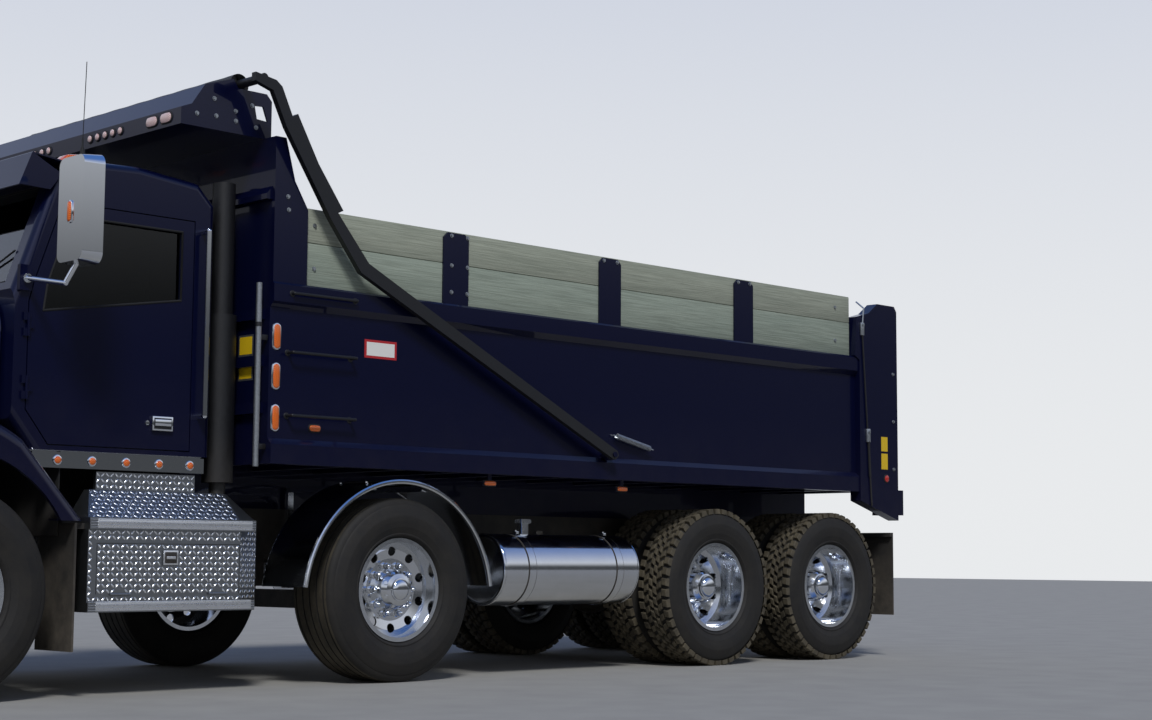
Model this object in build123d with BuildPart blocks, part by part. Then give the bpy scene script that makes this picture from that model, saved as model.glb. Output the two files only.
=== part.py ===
# Four axle dump truck: a conventional day cab, a steered front axle, a steered
# lift axle with single tyres, two twin tyred drive axles and a steel dump body
# with wooden sideboards, a cab guard and a swinging tarp frame.
# Millimetres. X points forward, Y to the truck's left, Z up. The origin is on
# the ground, midway between the bumper and the tail, on the centre line.

import os
from math import cos, radians, sin

from build123d import *

os.makedirs("parts", exist_ok=True)

# Wheelbase and overall length
bumper_to_steer = 1350
steer_to_lift = 2780
lift_to_drive = 2820
tandem_spread = 1270
drive_to_tail = 2200
overall_length = bumper_to_steer + steer_to_lift + lift_to_drive + drive_to_tail
front_x = overall_length / 2
steer_x = front_x - bumper_to_steer
lift_x = steer_x - steer_to_lift
drive_x = lift_x - lift_to_drive
rear_drive_x = drive_x - tandem_spread
tail_x = drive_x - drive_to_tail

# Wheels, all on 22.5 inch rims
tyre_radius = 530
axle_z = tyre_radius
flange_radius = 298.5
seat_radius = 284
barrel_wall = 10
seat_gap = 0.3
single_width = 385
single_rim_width = 311
twin_width = 280
twin_rim_width = 210
twin_spacing = 345
steer_track_y = 1040
lift_track_y = 1070
twin_outer_y = 1095
twin_inner_y = twin_outer_y - twin_spacing
hand_holes = 10
hub_radius = 110
spindle_radius = 45
spindle_gap = 0.5

# Steering swivels
king_y_steer = 850
king_y_lift = 850
king_radius = 24
king_gap = 0.5
eye_height = 110
eye_radius = 55
fork_gap = 1
fork_arm = 34

# Frame
rail_y = 432
rail_depth = 270
rail_flange = 85
rail_plate = 9
rail_top = 1000
rail_bottom = rail_top - rail_depth
rail_front_x = front_x - 260
nose_drop_x = 4060
nose_rail_top = 895
rail_rear_x = tail_x + 340

# Cab
cab_rear_x = 1655
cowl_x = 2850
cab_half = 1060
cab_floor_z = 1250
cab_wall = 50
door_thick = 60
door_gap = 6
door_rear_x = 1795
door_front_x = 2770
door_low_z = 1280
door_top_z = 2530
roof_z = 2790
cab_round = 45

# Hood
hood_gap = 12
hood_wall = 25
hood_hinge_x = 4385
hood_hinge_z = 850
hood_nose_x = 4330
arch_radius = 690
fender_half = cab_half + 155
fender_inner = 500
fender_round = 60

# Dump body
body_front_x = 1415
bulkhead_thick = 50
wall_y = 1245
skirt_z = 1222
floor_z = 1300
floor_plate = 30
body_rail_z = 2226
post_front_x = -3905
post_rear_x = -4375
post_top_z = 2640
board_top_z = 2669
board_split_z = 2474
board_thick = 42
board_gap = 0.5
board_front_x = 1180
hinge_x = -4305
hinge_z = 1000
hinge_pin = 35
hinge_gap = 0.5
body_sill_z = rail_top + 0.5
sill_outer_y = 400
sill_inner_y = 345

# Cab guard over the cab
guard_front_x = 1960
guard_low_z = 3040
guard_top_z = 3345
guard_half = 1150

# Tailgate and tarp frame
gate_front_x = -4392
gate_thick = 70
gate_half = 1185
gate_low_z = 1306
gate_top_z = 2250
gate_pivot_x = -4440
gate_pivot_z = 2390
arm_pivot_x = -1221
arm_pivot_z = 1379
arm_bend_x = 839
arm_bend_z = 2355
arm_tip_x = 1545
arm_tip_z = 3290
arm_inner_y = 1312
arm_thick = 38

# Hoist under the body
hoist_low_x = -3500
hoist_low_z = 870
hoist_high_x = -1600
hoist_high_z = 1120
hoist_barrel_length = 1640
hoist_boss = 15
hoist_barrel_r = 85
hoist_rod_r = 55
hoist_pin_r = 28
hoist_gap = 0.5
hoist_eye_half = 60
hoist_eye_r = 52
hood_pin_r = 14

# Step boxes between the cab and the front wheels
step_rear_x = 1385
step_front_x = 2485
step_low_z = 430
step_high_z = 910
step_inner_y = 560
step_outer_y = 1220
step_wall = 20
step_cut_x = 172
step_cut_y = 100
box_door_thick = 18

SIDES = (("left", 1), ("right", -1))


def block(x, y, z, mode=Mode.ADD):
    """A box between three pairs of limits."""
    with Locations(((x[0] + x[1]) / 2, (y[0] + y[1]) / 2, (z[0] + z[1]) / 2)):
        Box(x[1] - x[0], y[1] - y[0], z[1] - z[0], mode=mode)


def band(side, inner, outer):
    """A pair of Y limits on one side of the truck, low value first."""
    return tuple(sorted((side * inner, side * outer)))


def side_slab(outline, y, mode=Mode.ADD):
    """An outline in X and Z, extruded between two Y limits."""
    with BuildSketch(Plane.XZ.offset(-y[1])) as face:
        with BuildLine():
            Polyline(*outline, close=True)
        make_face()
    extrude(face.sketch, amount=y[1] - y[0], mode=mode)


def front_slab(outline, x, mode=Mode.ADD):
    """An outline in Y and Z, extruded between two X limits."""
    with BuildSketch(Plane.YZ.offset(x[0])) as face:
        with BuildLine():
            Polyline(*outline, close=True)
        make_face()
    extrude(face.sketch, amount=x[1] - x[0], mode=mode)


def plan_slab(outline, z, mode=Mode.ADD):
    """An outline in X and Y, extruded between two Z limits."""
    with BuildSketch(Plane.XY.offset(z[0])) as face:
        with BuildLine():
            Polyline(*outline, close=True)
        make_face()
    extrude(face.sketch, amount=z[1] - z[0], mode=mode)


def rod_y(x, z, radius, y, mode=Mode.ADD):
    """A round bar across the truck between two Y limits."""
    with Locations((x, (y[0] + y[1]) / 2, z)):
        Cylinder(radius, y[1] - y[0], rotation=(90, 0, 0), mode=mode)


def rod_x(y, z, radius, x, mode=Mode.ADD):
    """A round bar along the truck between two X limits."""
    with Locations(((x[0] + x[1]) / 2, y, z)):
        Cylinder(radius, x[1] - x[0], rotation=(0, 90, 0), mode=mode)


def rod_z(x, y, radius, z, mode=Mode.ADD):
    """An upright round bar between two Z limits."""
    with Locations((x, y, (z[0] + z[1]) / 2)):
        Cylinder(radius, z[1] - z[0], mode=mode)


def bar(start, end, radius, mode=Mode.ADD):
    """A round bar between two points."""
    run = Vector(*end) - Vector(*start)
    with BuildSketch(Plane(origin=start, z_dir=run)) as face:
        Circle(radius)
    extrude(face.sketch, amount=run.length, mode=mode)


def turned(profile, x, y, z, side, mode=Mode.ADD):
    """Turn a profile of (distance outwards along Y, radius) about a wheel's axis."""
    frame = Plane(origin=(x, y, z), x_dir=(0, side, 0), z_dir=(side, 0, 0))
    with BuildSketch(frame) as face:
        with BuildLine():
            Polyline(*profile, close=True)
        make_face()
    revolve(face.sketch, axis=Axis((x, y, z), (0, 1, 0)), mode=mode)


def save(made, label):
    made.part.label = label
    export_step(made.part, "parts/" + label + ".step")


# Frame: two channel rails, cross members, front lugs for the hood and the tail
# plates that carry the dump body's hinge pin.
# each row: X, low Z, high Z
CROSSMEMBERS = ((4150, 765, 885), (1950, 868, 985), (1150, 868, 985), (0, 868, 985),
                (-800, 868, 985), (hoist_low_x, 745, 800), (rail_rear_x + 30, 800, 985))
cross_half = rail_y - rail_plate
cross_width = 60
hinge_plate = 20
lug_plate = 20
with BuildPart() as frame:
    for name, side in SIDES:
        web = band(side, rail_y - rail_plate, rail_y)
        flange = band(side, rail_y - rail_flange, rail_y)
        block((rail_rear_x, nose_drop_x), web, (rail_bottom, rail_top))
        block((rail_rear_x, nose_drop_x), flange, (rail_top - rail_plate, rail_top))
        block((rail_rear_x, rail_front_x), flange, (rail_bottom, rail_bottom + rail_plate))
        block((nose_drop_x, rail_front_x), web, (rail_bottom, nose_rail_top))
        block((nose_drop_x, rail_front_x), flange, (nose_rail_top - rail_plate, nose_rail_top))
        # tail plates for the dump hinge
        side_slab(((rail_rear_x + 260, rail_bottom + 60), (rail_rear_x + 260, rail_top - 30),
                   (hinge_x, hinge_z + 70), (hinge_x - 60, hinge_z + 30),
                   (hinge_x - 60, hinge_z - 110)), band(side, rail_y, rail_y + hinge_plate))
        # hood hinge lugs
        side_slab(((rail_front_x - 90, rail_bottom + 40), (rail_front_x, rail_bottom + 40),
                   (hood_hinge_x + 30, hood_hinge_z - 30), (hood_hinge_x + 30, hood_hinge_z + 20),
                   (hood_hinge_x - 20, hood_hinge_z + 30), (rail_front_x - 90, nose_rail_top - 20)),
                  band(side, rail_y, rail_y + lug_plate))
        # cheeks for the low hoist pin
        side_slab(((hoist_low_x - 70, 790), (hoist_low_x + 70, 790),
                   (hoist_low_x + 45, hoist_low_z + 45), (hoist_low_x - 45, hoist_low_z + 45)),
                  band(side, hoist_eye_half + 1, hoist_eye_half + 21))
    for x, low, high in CROSSMEMBERS:
        block((x - cross_width / 2, x + cross_width / 2), (-cross_half, cross_half), (low, high))
    block((hoist_low_x - 70, hoist_low_x + 70), (-hoist_eye_half - 21, hoist_eye_half + 21), (745, 796))
    rod_y(hoist_low_x, hoist_low_z, hoist_pin_r, (-hoist_eye_half - 21, hoist_eye_half + 21))
    rod_y(hinge_x, hinge_z, hinge_pin, (-rail_y - hinge_plate, rail_y + hinge_plate))
    rod_y(hood_hinge_x, hood_hinge_z, hood_pin_r, (-rail_y - lug_plate, rail_y + lug_plate))
save(frame, "frame")

# Front bumper: a bent plate with swept ends, on two brackets
bumper_half = 1200
bumper_low_z = 420
bumper_high_z = 790
bumper_plate = 12
bumper_sweep = 150
bumper_mid = 820
tow_eye_r = 20
tow_lug_y = rail_y - 82
tow_lug_z = 640
tow_lug_thick = 30
with BuildPart() as bumper:
    outer = ((front_x - bumper_sweep, -bumper_half), (front_x - 20, -bumper_mid),
             (front_x, -500), (front_x, 500),
             (front_x - 20, bumper_mid), (front_x - bumper_sweep, bumper_half))
    inner = tuple((x - bumper_plate, y) for x, y in reversed(outer))
    plan_slab(outer + inner, (bumper_low_z, bumper_high_z))
    block((front_x - 45, front_x - bumper_plate / 2), (-500, 500), (bumper_high_z - 14, bumper_high_z))
    block((front_x - 45, front_x - bumper_plate / 2), (-500, 500), (bumper_low_z, bumper_low_z + 14))
    for name, side in SIDES:
        # brackets under the rails, each with a tow lug on its inboard face
        side_slab(((rail_front_x - 160, rail_bottom - 0.5), (rail_front_x - 160, rail_bottom - 60),
                   (front_x - 40, 560), (front_x - bumper_plate / 2, 560),
                   (front_x - bumper_plate / 2, 700), (front_x - 60, rail_bottom - 0.5)),
                  band(side, rail_y - 40, rail_y - 10))
        block((front_x - 150, front_x - 40), band(side, tow_lug_y - 50, rail_y - 39),
              (tow_lug_z - tow_lug_thick / 2, tow_lug_z + tow_lug_thick / 2))
        rod_z(front_x - 90, side * tow_lug_y, tow_eye_r,
              (tow_lug_z - tow_lug_thick, tow_lug_z + tow_lug_thick), mode=Mode.SUBTRACT)
save(bumper, "bumper")

# Engine and gearbox as one plain mass, and the radiator ahead of it
engine_rear_x = 2920
engine_front_x = 3980
with BuildPart() as engine:
    block((engine_rear_x, engine_front_x), (-300, 300), (700, 1480))
    block((2150, engine_rear_x), (-230, 230), (640, 1060))
    mount_half = rail_y - rail_plate - 0.5
    block((3300, 3420), (-mount_half, mount_half), (800, 880))
save(engine, "engine")

radiator_x = 4110
with BuildPart() as radiator:
    block((radiator_x, radiator_x + 90), (-400, 400), (nose_rail_top + 0.5, 1600))
    block((engine_front_x + 30, radiator_x), (-330, 330), (960, 1540))
save(radiator, "radiator")


def axle_beam(x, king_y, drop, spring_half):
    """A dropped beam with an upright eye at each end and two leaf spring packs."""
    beam_z = axle_z - drop
    for name, side in SIDES:
        rod_z(x, side * king_y, eye_radius, (axle_z - eye_height / 2, axle_z + eye_height / 2))
        front_slab(((side * 520, beam_z - 55), (side * (king_y - 80), axle_z - 50),
                    (side * king_y, axle_z - 50), (side * king_y, axle_z + 50),
                    (side * (king_y - 80), axle_z + 50), (side * 520, beam_z + 55)),
                   (x - 45, x + 45))
        # leaf spring pack with its eyes hung from the rail
        for leaf in range(4):
            half = spring_half - 120 * leaf
            low = beam_z + 56 + 14 * (3 - leaf)
            block((x - half, x + half), band(side, 345, 425), (low, low + 14))
        for end in (-1, 1):
            hanger_x = x + end * (spring_half - 20)
            hanger_low = beam_z + 56 + 42
            block((hanger_x - 30, hanger_x + 30), band(side, 345, 425),
                  (hanger_low, rail_bottom - 0.5))
        block((x - 60, x + 60), band(side, 335, 435), (beam_z + 40, beam_z + 120))
    block((x - 45, x + 45), (-521, 521), (beam_z - 55, beam_z + 55))
    for name, side in SIDES:
        rod_z(x, side * king_y, king_radius + king_gap, (axle_z - 80, axle_z + 80),
              mode=Mode.SUBTRACT)


with BuildPart() as front_axle:
    axle_beam(steer_x, king_y_steer, 90, 620)
save(front_axle, "front_axle")

with BuildPart() as lift_axle:
    axle_beam(lift_x, king_y_lift, 70, 430)
save(lift_axle, "lift_axle")

# Drive axles with their differentials, the shafts between them, and the
# walking beam springs on both sides
housing_radius = 85
pinion_z = axle_z + 60
tube_radius = 55
with BuildPart() as drive_axles:
    for x in (drive_x, rear_drive_x):
        rod_y(x, axle_z, housing_radius, (-560, 560))
        with Locations((x, 0, axle_z)):
            Sphere(205)
        rod_x(0, pinion_z, 90, (x, x + 290))
        for name, side in SIDES:
            rod_y(x, axle_z, spindle_radius, band(side, 500, twin_outer_y + 2))
            block((x - 75, x + 75), band(side, 350, 440), (axle_z + 60, rail_bottom - 75))
    middle_x = (drive_x + rear_drive_x) / 2
    for name, side in SIDES:
        for leaf in range(4):
            half = tandem_spread / 2 + 90 - 130 * leaf
            low = rail_bottom - 76 + 16 * leaf
            block((middle_x - half, middle_x + half), band(side, 350, 440), (low, low + 16))
        side_slab(((middle_x - 150, rail_bottom - 13), (middle_x + 150, rail_bottom - 13),
                   (middle_x + 110, rail_bottom - 0.5), (middle_x - 110, rail_bottom - 0.5)),
                  band(side, 350, 440))
    rod_x(0, pinion_z, tube_radius, (rear_drive_x, drive_x))
    bar((drive_x + 280, 0, pinion_z), (2145, 0, 820), tube_radius)
save(drive_axles, "drive_axles")


def fork(x, king_y, track_y, side):
    """A swivel: king pin, two fork arms round the beam's eye, and the wheel's spindle."""
    half = eye_height / 2 + fork_gap
    reach = side * (king_y + eye_radius + 32)
    rod_z(x, side * king_y, king_radius, (axle_z - half - fork_arm, axle_z + half + fork_arm))
    for low in (axle_z - half - fork_arm, axle_z + half):
        rod_z(x, side * king_y, eye_radius - 8, (low, low + fork_arm))
        block((x - 40, x + 40), band(side, king_y, king_y + eye_radius + 32), (low, low + fork_arm))
    block((x - 48, x + 48), band(side, king_y + eye_radius + 6, king_y + eye_radius + 32),
          (axle_z - half - fork_arm, axle_z + half + fork_arm))
    rod_y(x, axle_z, spindle_radius, band(side, king_y + eye_radius + 20, track_y + 120))
    # steering arm reaching back from the swivel
    side_slab(((x, axle_z - half - fork_arm), (x - 210, axle_z - half - fork_arm + 6),
               (x - 210, axle_z - half - 6), (x, axle_z - half)),
              band(side, king_y - 30, king_y + 10))
    rod_z(x, side * king_y, eye_radius + 4, (axle_z - eye_height / 2 - fork_gap,
                                             axle_z + eye_height / 2 + fork_gap),
          mode=Mode.SUBTRACT)
    rod_z(x, side * king_y, king_radius, (axle_z - half - fork_arm, axle_z + half + fork_arm))


def rim_profile(width, disc_at, hub_out):
    """Barrel with flanges, a disc at disc_at and a hub, as (outwards, radius)."""
    half = width / 2
    inner = seat_radius - barrel_wall
    bore = spindle_radius + spindle_gap
    return ((-half, inner), (-half, flange_radius), (-half + 14, flange_radius),
            (-half + 14, seat_radius), (half - 14, seat_radius), (half - 14, flange_radius),
            (half, flange_radius), (half, inner), (disc_at + 12, inner),
            (disc_at + 24, inner - 40), (disc_at + 12, 180), (disc_at + 12, 120),
            (hub_out - 40, 112), (hub_out - 12, 92), (hub_out, 60), (hub_out, 0),
            (hub_out - 30, 0), (hub_out - 30, bore),
            (disc_at - 60, bore), (disc_at - 60, hub_radius), (disc_at, hub_radius),
            (disc_at, 180), (disc_at + 10, inner - 44), (disc_at - 8, inner))


def hand_hole_ring(x, y, side, radius):
    """The ring of round openings through a wheel's disc that lies near this Y."""
    for turn in range(hand_holes):
        angle = radians(360 / hand_holes * (turn + 0.5))
        rod_y(x + 222 * cos(angle), axle_z + 222 * sin(angle), radius,
              band(side, y - 90, y + 90), mode=Mode.SUBTRACT)


def tyre_bead(rim_width):
    return rim_width / 2 - 14 - seat_gap


def tyre(x, y, side, width, rim_width):
    """One tyre seated between the flanges of its rim."""
    half = width / 2
    bead = tyre_bead(rim_width)
    low = seat_radius + seat_gap
    lip = flange_radius + 1
    turned(((-bead, low), (-bead, lip), (-half + 8, lip + 70), (-half, lip + 120),
            (-half + 10, tyre_radius - 50), (-half + 30, tyre_radius - 9),
            (-half + 60, tyre_radius), (half - 60, tyre_radius),
            (half - 30, tyre_radius - 9), (half - 10, tyre_radius - 50), (half, lip + 120),
            (half - 8, lip + 70), (bead, lip), (bead, low)), x, y, axle_z, side)


# Steered wheels: front axle and lift axle, one swivel, rim and tyre on each side
STEERED = (("front", steer_x, king_y_steer, steer_track_y),
           ("lift", lift_x, king_y_lift, lift_track_y))
for axle, x, king_y, track_y in STEERED:
    for name, side in SIDES:
        with BuildPart() as swivel:
            fork(x, king_y, track_y, side)
        save(swivel, axle + "_swivel_" + name)
        with BuildPart() as rim:
            turned(rim_profile(single_rim_width, 60, 165), x, side * track_y, axle_z, side)
            hand_hole_ring(x, track_y + 66, side, 27)
        save(rim, axle + "_rim_" + name)
        with BuildPart() as rubber:
            tyre(x, side * track_y, side, single_width, single_rim_width)
        save(rubber, axle + "_tyre_" + name)

# Twin wheels of the two drive axles. The outer rim is dished deeply inwards and
# bolts back to back with the inner one; both sit on one hub.
DRIVE = (("drive_a", drive_x), ("drive_b", rear_drive_x))


def barrel(half, inner):
    """The well of a rim with its two flanges, from inboard to outboard."""
    lip = 14
    return ((-half, inner), (-half, flange_radius), (-half + lip, flange_radius),
            (-half + lip, seat_radius), (half - lip, seat_radius), (half - lip, flange_radius),
            (half, flange_radius), (half, inner))


for axle, x in DRIVE:
    for name, side in SIDES:
        half = twin_rim_width / 2
        inner = seat_radius - barrel_wall
        bore = spindle_radius + spindle_gap
        meet = twin_spacing / 2
        with BuildPart() as rims:
            turned(barrel(half, inner) + (
                (-half + 20, inner), (-half + 8, inner - 40), (12 - meet, 190), (12 - meet, 125),
                (60 - meet, 118), (-10, 108), (20, 88), (34, 50), (34, 0), (4, 0), (4, bore),
                (-meet - 60, bore), (-meet - 60, 150), (-meet, 150), (-meet, 190),
                (-half - 6, inner)), x, side * twin_outer_y, axle_z, side)
            turned(barrel(half, inner) + (
                (half + 6, inner - 6), (meet, 190), (meet, 140), (meet - 14, 140),
                (meet - 14, 186), (half - 22, inner)), x, side * twin_inner_y, axle_z, side)
            hand_hole_ring(x, twin_outer_y - meet, side, 22)
        save(rims, axle + "_rims_" + name)
        with BuildPart() as rubber:
            tyre(x, side * twin_outer_y, side, twin_width, twin_rim_width)
            tyre(x, side * twin_inner_y, side, twin_width, twin_rim_width)
        save(rubber, axle + "_tyres_" + name)

# Cab shell: one hollow box of sheet panels with door, windscreen and rear
# window openings, standing on the rails by four mounts.
screen_top_x = 2640
screen_top_z = 2690
screen_low_z = 2060
cab_outline = ((cab_rear_x, cab_floor_z), (cab_rear_x, 2640), (cab_rear_x + 110, 2750),
               (2150, roof_z), (2480, 2775), (screen_top_x, screen_top_z),
               (cowl_x + 8, screen_low_z), (cowl_x, 1980), (cowl_x, 1400),
               (2735, cab_floor_z))
cab_inside = ((cab_rear_x + cab_wall, cab_floor_z + cab_wall), (cab_rear_x + cab_wall, 2620),
              (cab_rear_x + 130, 2705), (2150, roof_z - 45), (2465, 2732), (2602, 2660),
              (cowl_x - 46, screen_low_z - 10), (cowl_x - cab_wall, 1975),
              (cowl_x - cab_wall, 1420), (2705, cab_floor_z + cab_wall))
door_outline = ((door_rear_x, door_low_z), (door_rear_x, door_top_z), (2596, door_top_z),
                (2745, 2100), (door_front_x, 2000), (door_front_x, 1450), (2700, 1360),
                (2640, door_low_z))
door_window = ((door_rear_x + 75, 2090), (door_rear_x + 75, door_top_z - 65),
               (2545, door_top_z - 65), (2672, 2100), (2690, 1960))
inside_half = cab_half - door_thick
DOOR_HINGES_Z = (1500, 1820)
knuckle = 40
knuckle_r = 9
knuckle_gap = 0.3
door_axis_x = door_front_x + 4
door_axis_y = cab_half + knuckle_r + 1
screen_half = 940
pane = 6
pane_gap = 0.3


def grown_side_slab(outline, gap, y, mode=Mode.ADD):
    """A side outline moved out by gap, extruded between two Y limits."""
    with BuildSketch(Plane.XZ.offset(-y[1])) as face:
        with BuildLine():
            Polyline(*outline, close=True)
        make_face()
        offset(amount=gap, kind=Kind.INTERSECTION)
    extrude(face.sketch, amount=y[1] - y[0], mode=mode)


with BuildPart() as cab_shell:
    side_slab(cab_outline, (-cab_half, cab_half))
    skin_edges = cab_shell.edges().filter_by(
        lambda edge: abs(abs(edge.center().Y) - cab_half) < 1 and edge.center().Z > cab_floor_z + 10)
    fillet(skin_edges.filter_by(lambda edge: edge.center().X < cowl_x - 1), cab_round)
    side_slab(cab_inside, (-inside_half, inside_half), mode=Mode.SUBTRACT)
    for name, side in SIDES:
        grown_side_slab(door_outline, door_gap, band(side, inside_half - 5, cab_half + 5),
                        mode=Mode.SUBTRACT)
        for x in (1780, 2560):
            block((x, x + 90), band(side, rail_y - 70, rail_y - 6), (rail_top + 0.5, cab_floor_z + 5))
        # door hinge knuckles on the front pillar
        for low in DOOR_HINGES_Z:
            for z in (low, low + 2 * knuckle):
                rod_z(door_axis_x, side * door_axis_y, knuckle_r, (z, z + knuckle))
                block((door_axis_x, door_axis_x + 30), band(side, cab_half - 5, door_axis_y + 2),
                      (z, z + knuckle))
        # cowl bracket that carries the mirror arm
        block((2770, 2840), band(side, cab_half - 5, cab_half + 24), (2050, 2180))
    side_slab(((2480, 2625), (2800, 2625), (3000, 2100), (2680, 2100)),
              (-screen_half, screen_half), mode=Mode.SUBTRACT)
    block((cab_rear_x - 5, cab_rear_x + cab_wall + 5), (-480, 480), (2080, 2480), mode=Mode.SUBTRACT)
save(cab_shell, "cab_shell")

# The windscreen lies in its opening, parallel to the sloping front of the cab
with BuildPart() as cab_glass:
    side_slab(((2642, 2625 - pane_gap), (2648, 2625 - pane_gap), (2834, 2100 + pane_gap),
               (2828, 2100 + pane_gap)), (-screen_half + pane_gap, screen_half - pane_gap))
    block((cab_rear_x + 20, cab_rear_x + 20 + pane), (-480 + pane_gap, 480 - pane_gap),
          (2080 + pane_gap, 2480 - pane_gap))
save(cab_glass, "cab_glass")

# Doors with their window openings, hinged at the front edge
for name, side in SIDES:
    with BuildPart() as door:
        side_slab(door_outline, band(side, inside_half, cab_half))
        side_slab(door_window, band(side, inside_half - 5, cab_half + 5), mode=Mode.SUBTRACT)
        for low in DOOR_HINGES_Z:
            middle = (low + knuckle + knuckle_gap, low + 2 * knuckle - knuckle_gap)
            rod_z(door_axis_x, side * door_axis_y, knuckle_r, middle)
            block((door_axis_x - 30, door_axis_x), band(side, cab_half - 5, door_axis_y + 2), middle)
        # paddle handle
        block((1915, 2030), band(side, cab_half - 2, cab_half + 16), (1385, 1450))
    save(door, "door_" + name)
    with BuildPart() as door_glass:
        grown_side_slab(door_window, -pane_gap, band(side, cab_half - 28, cab_half - 28 + pane))
    save(door_glass, "door_glass_" + name)

# Seats, dashboard and steering wheel seen through the glass
seat_floor = cab_floor_z + cab_wall + 0.5
with BuildPart() as cab_interior:
    for y in (-560, 560):
        block((1960, 2360), (y - 190, y + 190), (seat_floor, seat_floor + 220))
        block((1900, 2420), (y - 250, y + 250), (seat_floor + 220, seat_floor + 380))
        side_slab(((1900, seat_floor + 340), (2030, seat_floor + 340), (1950, seat_floor + 960),
                   (1840, seat_floor + 960)), (y - 240, y + 240))
    side_slab(((2560, 1560), (2500, 1660), (2480, 1880), (2560, 1960), (2795, 1960), (2795, 1560)),
              (-inside_half + 10, inside_half - 10))
    bar((2540, 560, 1800), (2395, 560, 1880), 28)
    with BuildSketch(Plane(origin=(2395, 560, 1880), z_dir=(-145, 0, 80))) as wheel:
        Circle(230)
        Circle(205, mode=Mode.SUBTRACT)
        Rectangle(440, 34)
        Circle(55)
    extrude(wheel.sketch, amount=26)
save(cab_interior, "cab_interior")

# Outside sun visor: a roof sheet, a deep front face and a cheek plate at each
# end, half a millimetre off the cab's side
visor_half = cab_half + 12.5
visor_sheet = 8
visor_root = (2560, 2733)
visor_brow = (2782, 2760)
visor_lip = (2850, 2587)
with BuildPart() as sun_visor:
    side_slab((visor_root, visor_brow, visor_lip, (visor_lip[0] + visor_sheet, visor_lip[1] + 3),
               (visor_brow[0] + visor_sheet, visor_brow[1] + 4),
               (visor_brow[0] + 4, visor_brow[1] + visor_sheet),
               (visor_root[0], visor_root[1] + visor_sheet)), (-visor_half, visor_half))
    for name, side in SIDES:
        side_slab(((2615, 2676), (2716, 2727), (visor_brow[0] + 3, visor_brow[1] + 5),
                   (visor_lip[0] + 4, visor_lip[1] + 4), (2681, 2586)),
                  band(side, cab_half + 0.5, visor_half))
save(sun_visor, "sun_visor")

# Mirrors: a tall rounded shell on a bent tube from the cowl bracket
mirror_y = 1450
mirror_x = 2725
with BuildPart() as mirrors:
    for name, side in SIDES:
        with BuildSketch(Plane.YZ.offset(mirror_x - 55)) as shell:
            with Locations((side * mirror_y, 2425)):
                RectangleRounded(260, 550, 55)
        extrude(shell.sketch, amount=110, taper=6)
        rod_y(2805, 2110, 24, band(side, cab_half + 24.3, cab_half + 40))
        bar((2805, side * (cab_half + 36), 2110), (2760, side * (mirror_y - 60), 2060), 14)
        bar((2760, side * (mirror_y - 60), 2060), (mirror_x, side * (mirror_y - 20), 2160), 14)
        with Locations((2760, side * (mirror_y - 60), 2060)):
            Sphere(15)
save(mirrors, "mirrors")

# Polished trim on the cab: lamp strips under the doors and tall grab bars
strip_rear_x = 1705
strip_front_x = 2733
with BuildPart() as cab_trim:
    for name, side in SIDES:
        block((strip_rear_x, strip_front_x), band(side, cab_half - 60, cab_half + 12), (1160, 1240))
        block((strip_rear_x, strip_front_x), band(side, cab_half - 60, cab_half - 20),
              (1239, cab_floor_z - 0.5))
        grab = side * (cab_half + 60)
        bar((1740, grab, 1470), (1740, grab, 2480), 16)
        for z in (1470, 2480):
            bar((1740, side * (cab_half + 0.5), z), (1740, grab, z), 16)
            with Locations((1740, grab, z)):
                Sphere(16)
save(cab_trim, "cab_trim")

# Small lamps carried by the cab: five on the roof, five on each strip
lamp_r = 26
with BuildPart() as cab_lamps:
    for y in (-900, -450, 0, 450, 900):
        side_slab(((2440, 2777.2), (2480, 2775.4), (2540, 2743.6), (2556, 2772), (2515, 2814),
                   (2440, 2824)), (y - 45, y + 45))
    for name, side in SIDES:
        for x in (2590, 2390, 2188, 1988, 1795):
            rod_y(x, 1200, lamp_r, band(side, cab_half + 12.3, cab_half + 26))
save(cab_lamps, "cab_lamps")

# Exhaust: an upright stack behind each side of the cab, on a bracket to the rail
stack_x = 1540
stack_y = 960
stack_r = 64
with BuildPart() as exhaust:
    for name, side in SIDES:
        rod_z(stack_x, side * stack_y, stack_r + 22, (1120, 2050))
        rod_z(stack_x, side * stack_y, stack_r, (2040, 2790))
        rod_z(stack_x, side * stack_y, stack_r - 5, (2400, 2795), mode=Mode.SUBTRACT)
        rod_z(stack_x, side * stack_y, 45, (940, 1130))
        block((stack_x - 30, stack_x + 30), band(side, rail_y + 0.5, stack_y), (940, 975))
save(exhaust, "exhaust")

# Hood: a tapering shell open below and behind, with the fenders and arches on
# it. Each row: X, half width, low Z, top Z, corner radius.
hood_rear_x = cowl_x + hood_gap
HOOD = ((hood_rear_x, 950, 1150, 2045, 200), (3500, 770, 1000, 1955, 180),
        (hood_nose_x, 520, 905, 1735, 130))
arch_x = steer_x + 10
arch_z = 545
lamp_seat_x = 4280
lamp_y = 850
lamp_z = 950
lamp_width = 330
lamp_height = 180


def hood_section(x, half, low, top, corner):
    with BuildSketch(Plane.YZ.offset(x)) as section:
        with Locations((0, (low + top) / 2)):
            RectangleRounded(2 * half, top - low, corner)
    return section.sketch


# The fenders' crown line in side view, from the low rear tip over the wheel to
# the low front corner; the tail beside the cab stays outboard of the cab.
fender_tail = (2494, 890)
fender_tail_top = (2845, 1289)
fender_crown = (3400, 1412)
fender_brow = (4320, 960)
fender_front = (4310, 700)
fender_toe = (3930, 640)
arch_tail = (2637, 890)


def fender_outline():
    """The crown line, drawn in the line that is being built."""
    Polyline(fender_tail, (2600, 1010), fender_tail_top)
    ThreePointArc(fender_tail_top, (3000, 1372), fender_crown)
    ThreePointArc(fender_crown, (4000, 1300), fender_brow)
    Line(fender_brow, fender_front)


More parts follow.
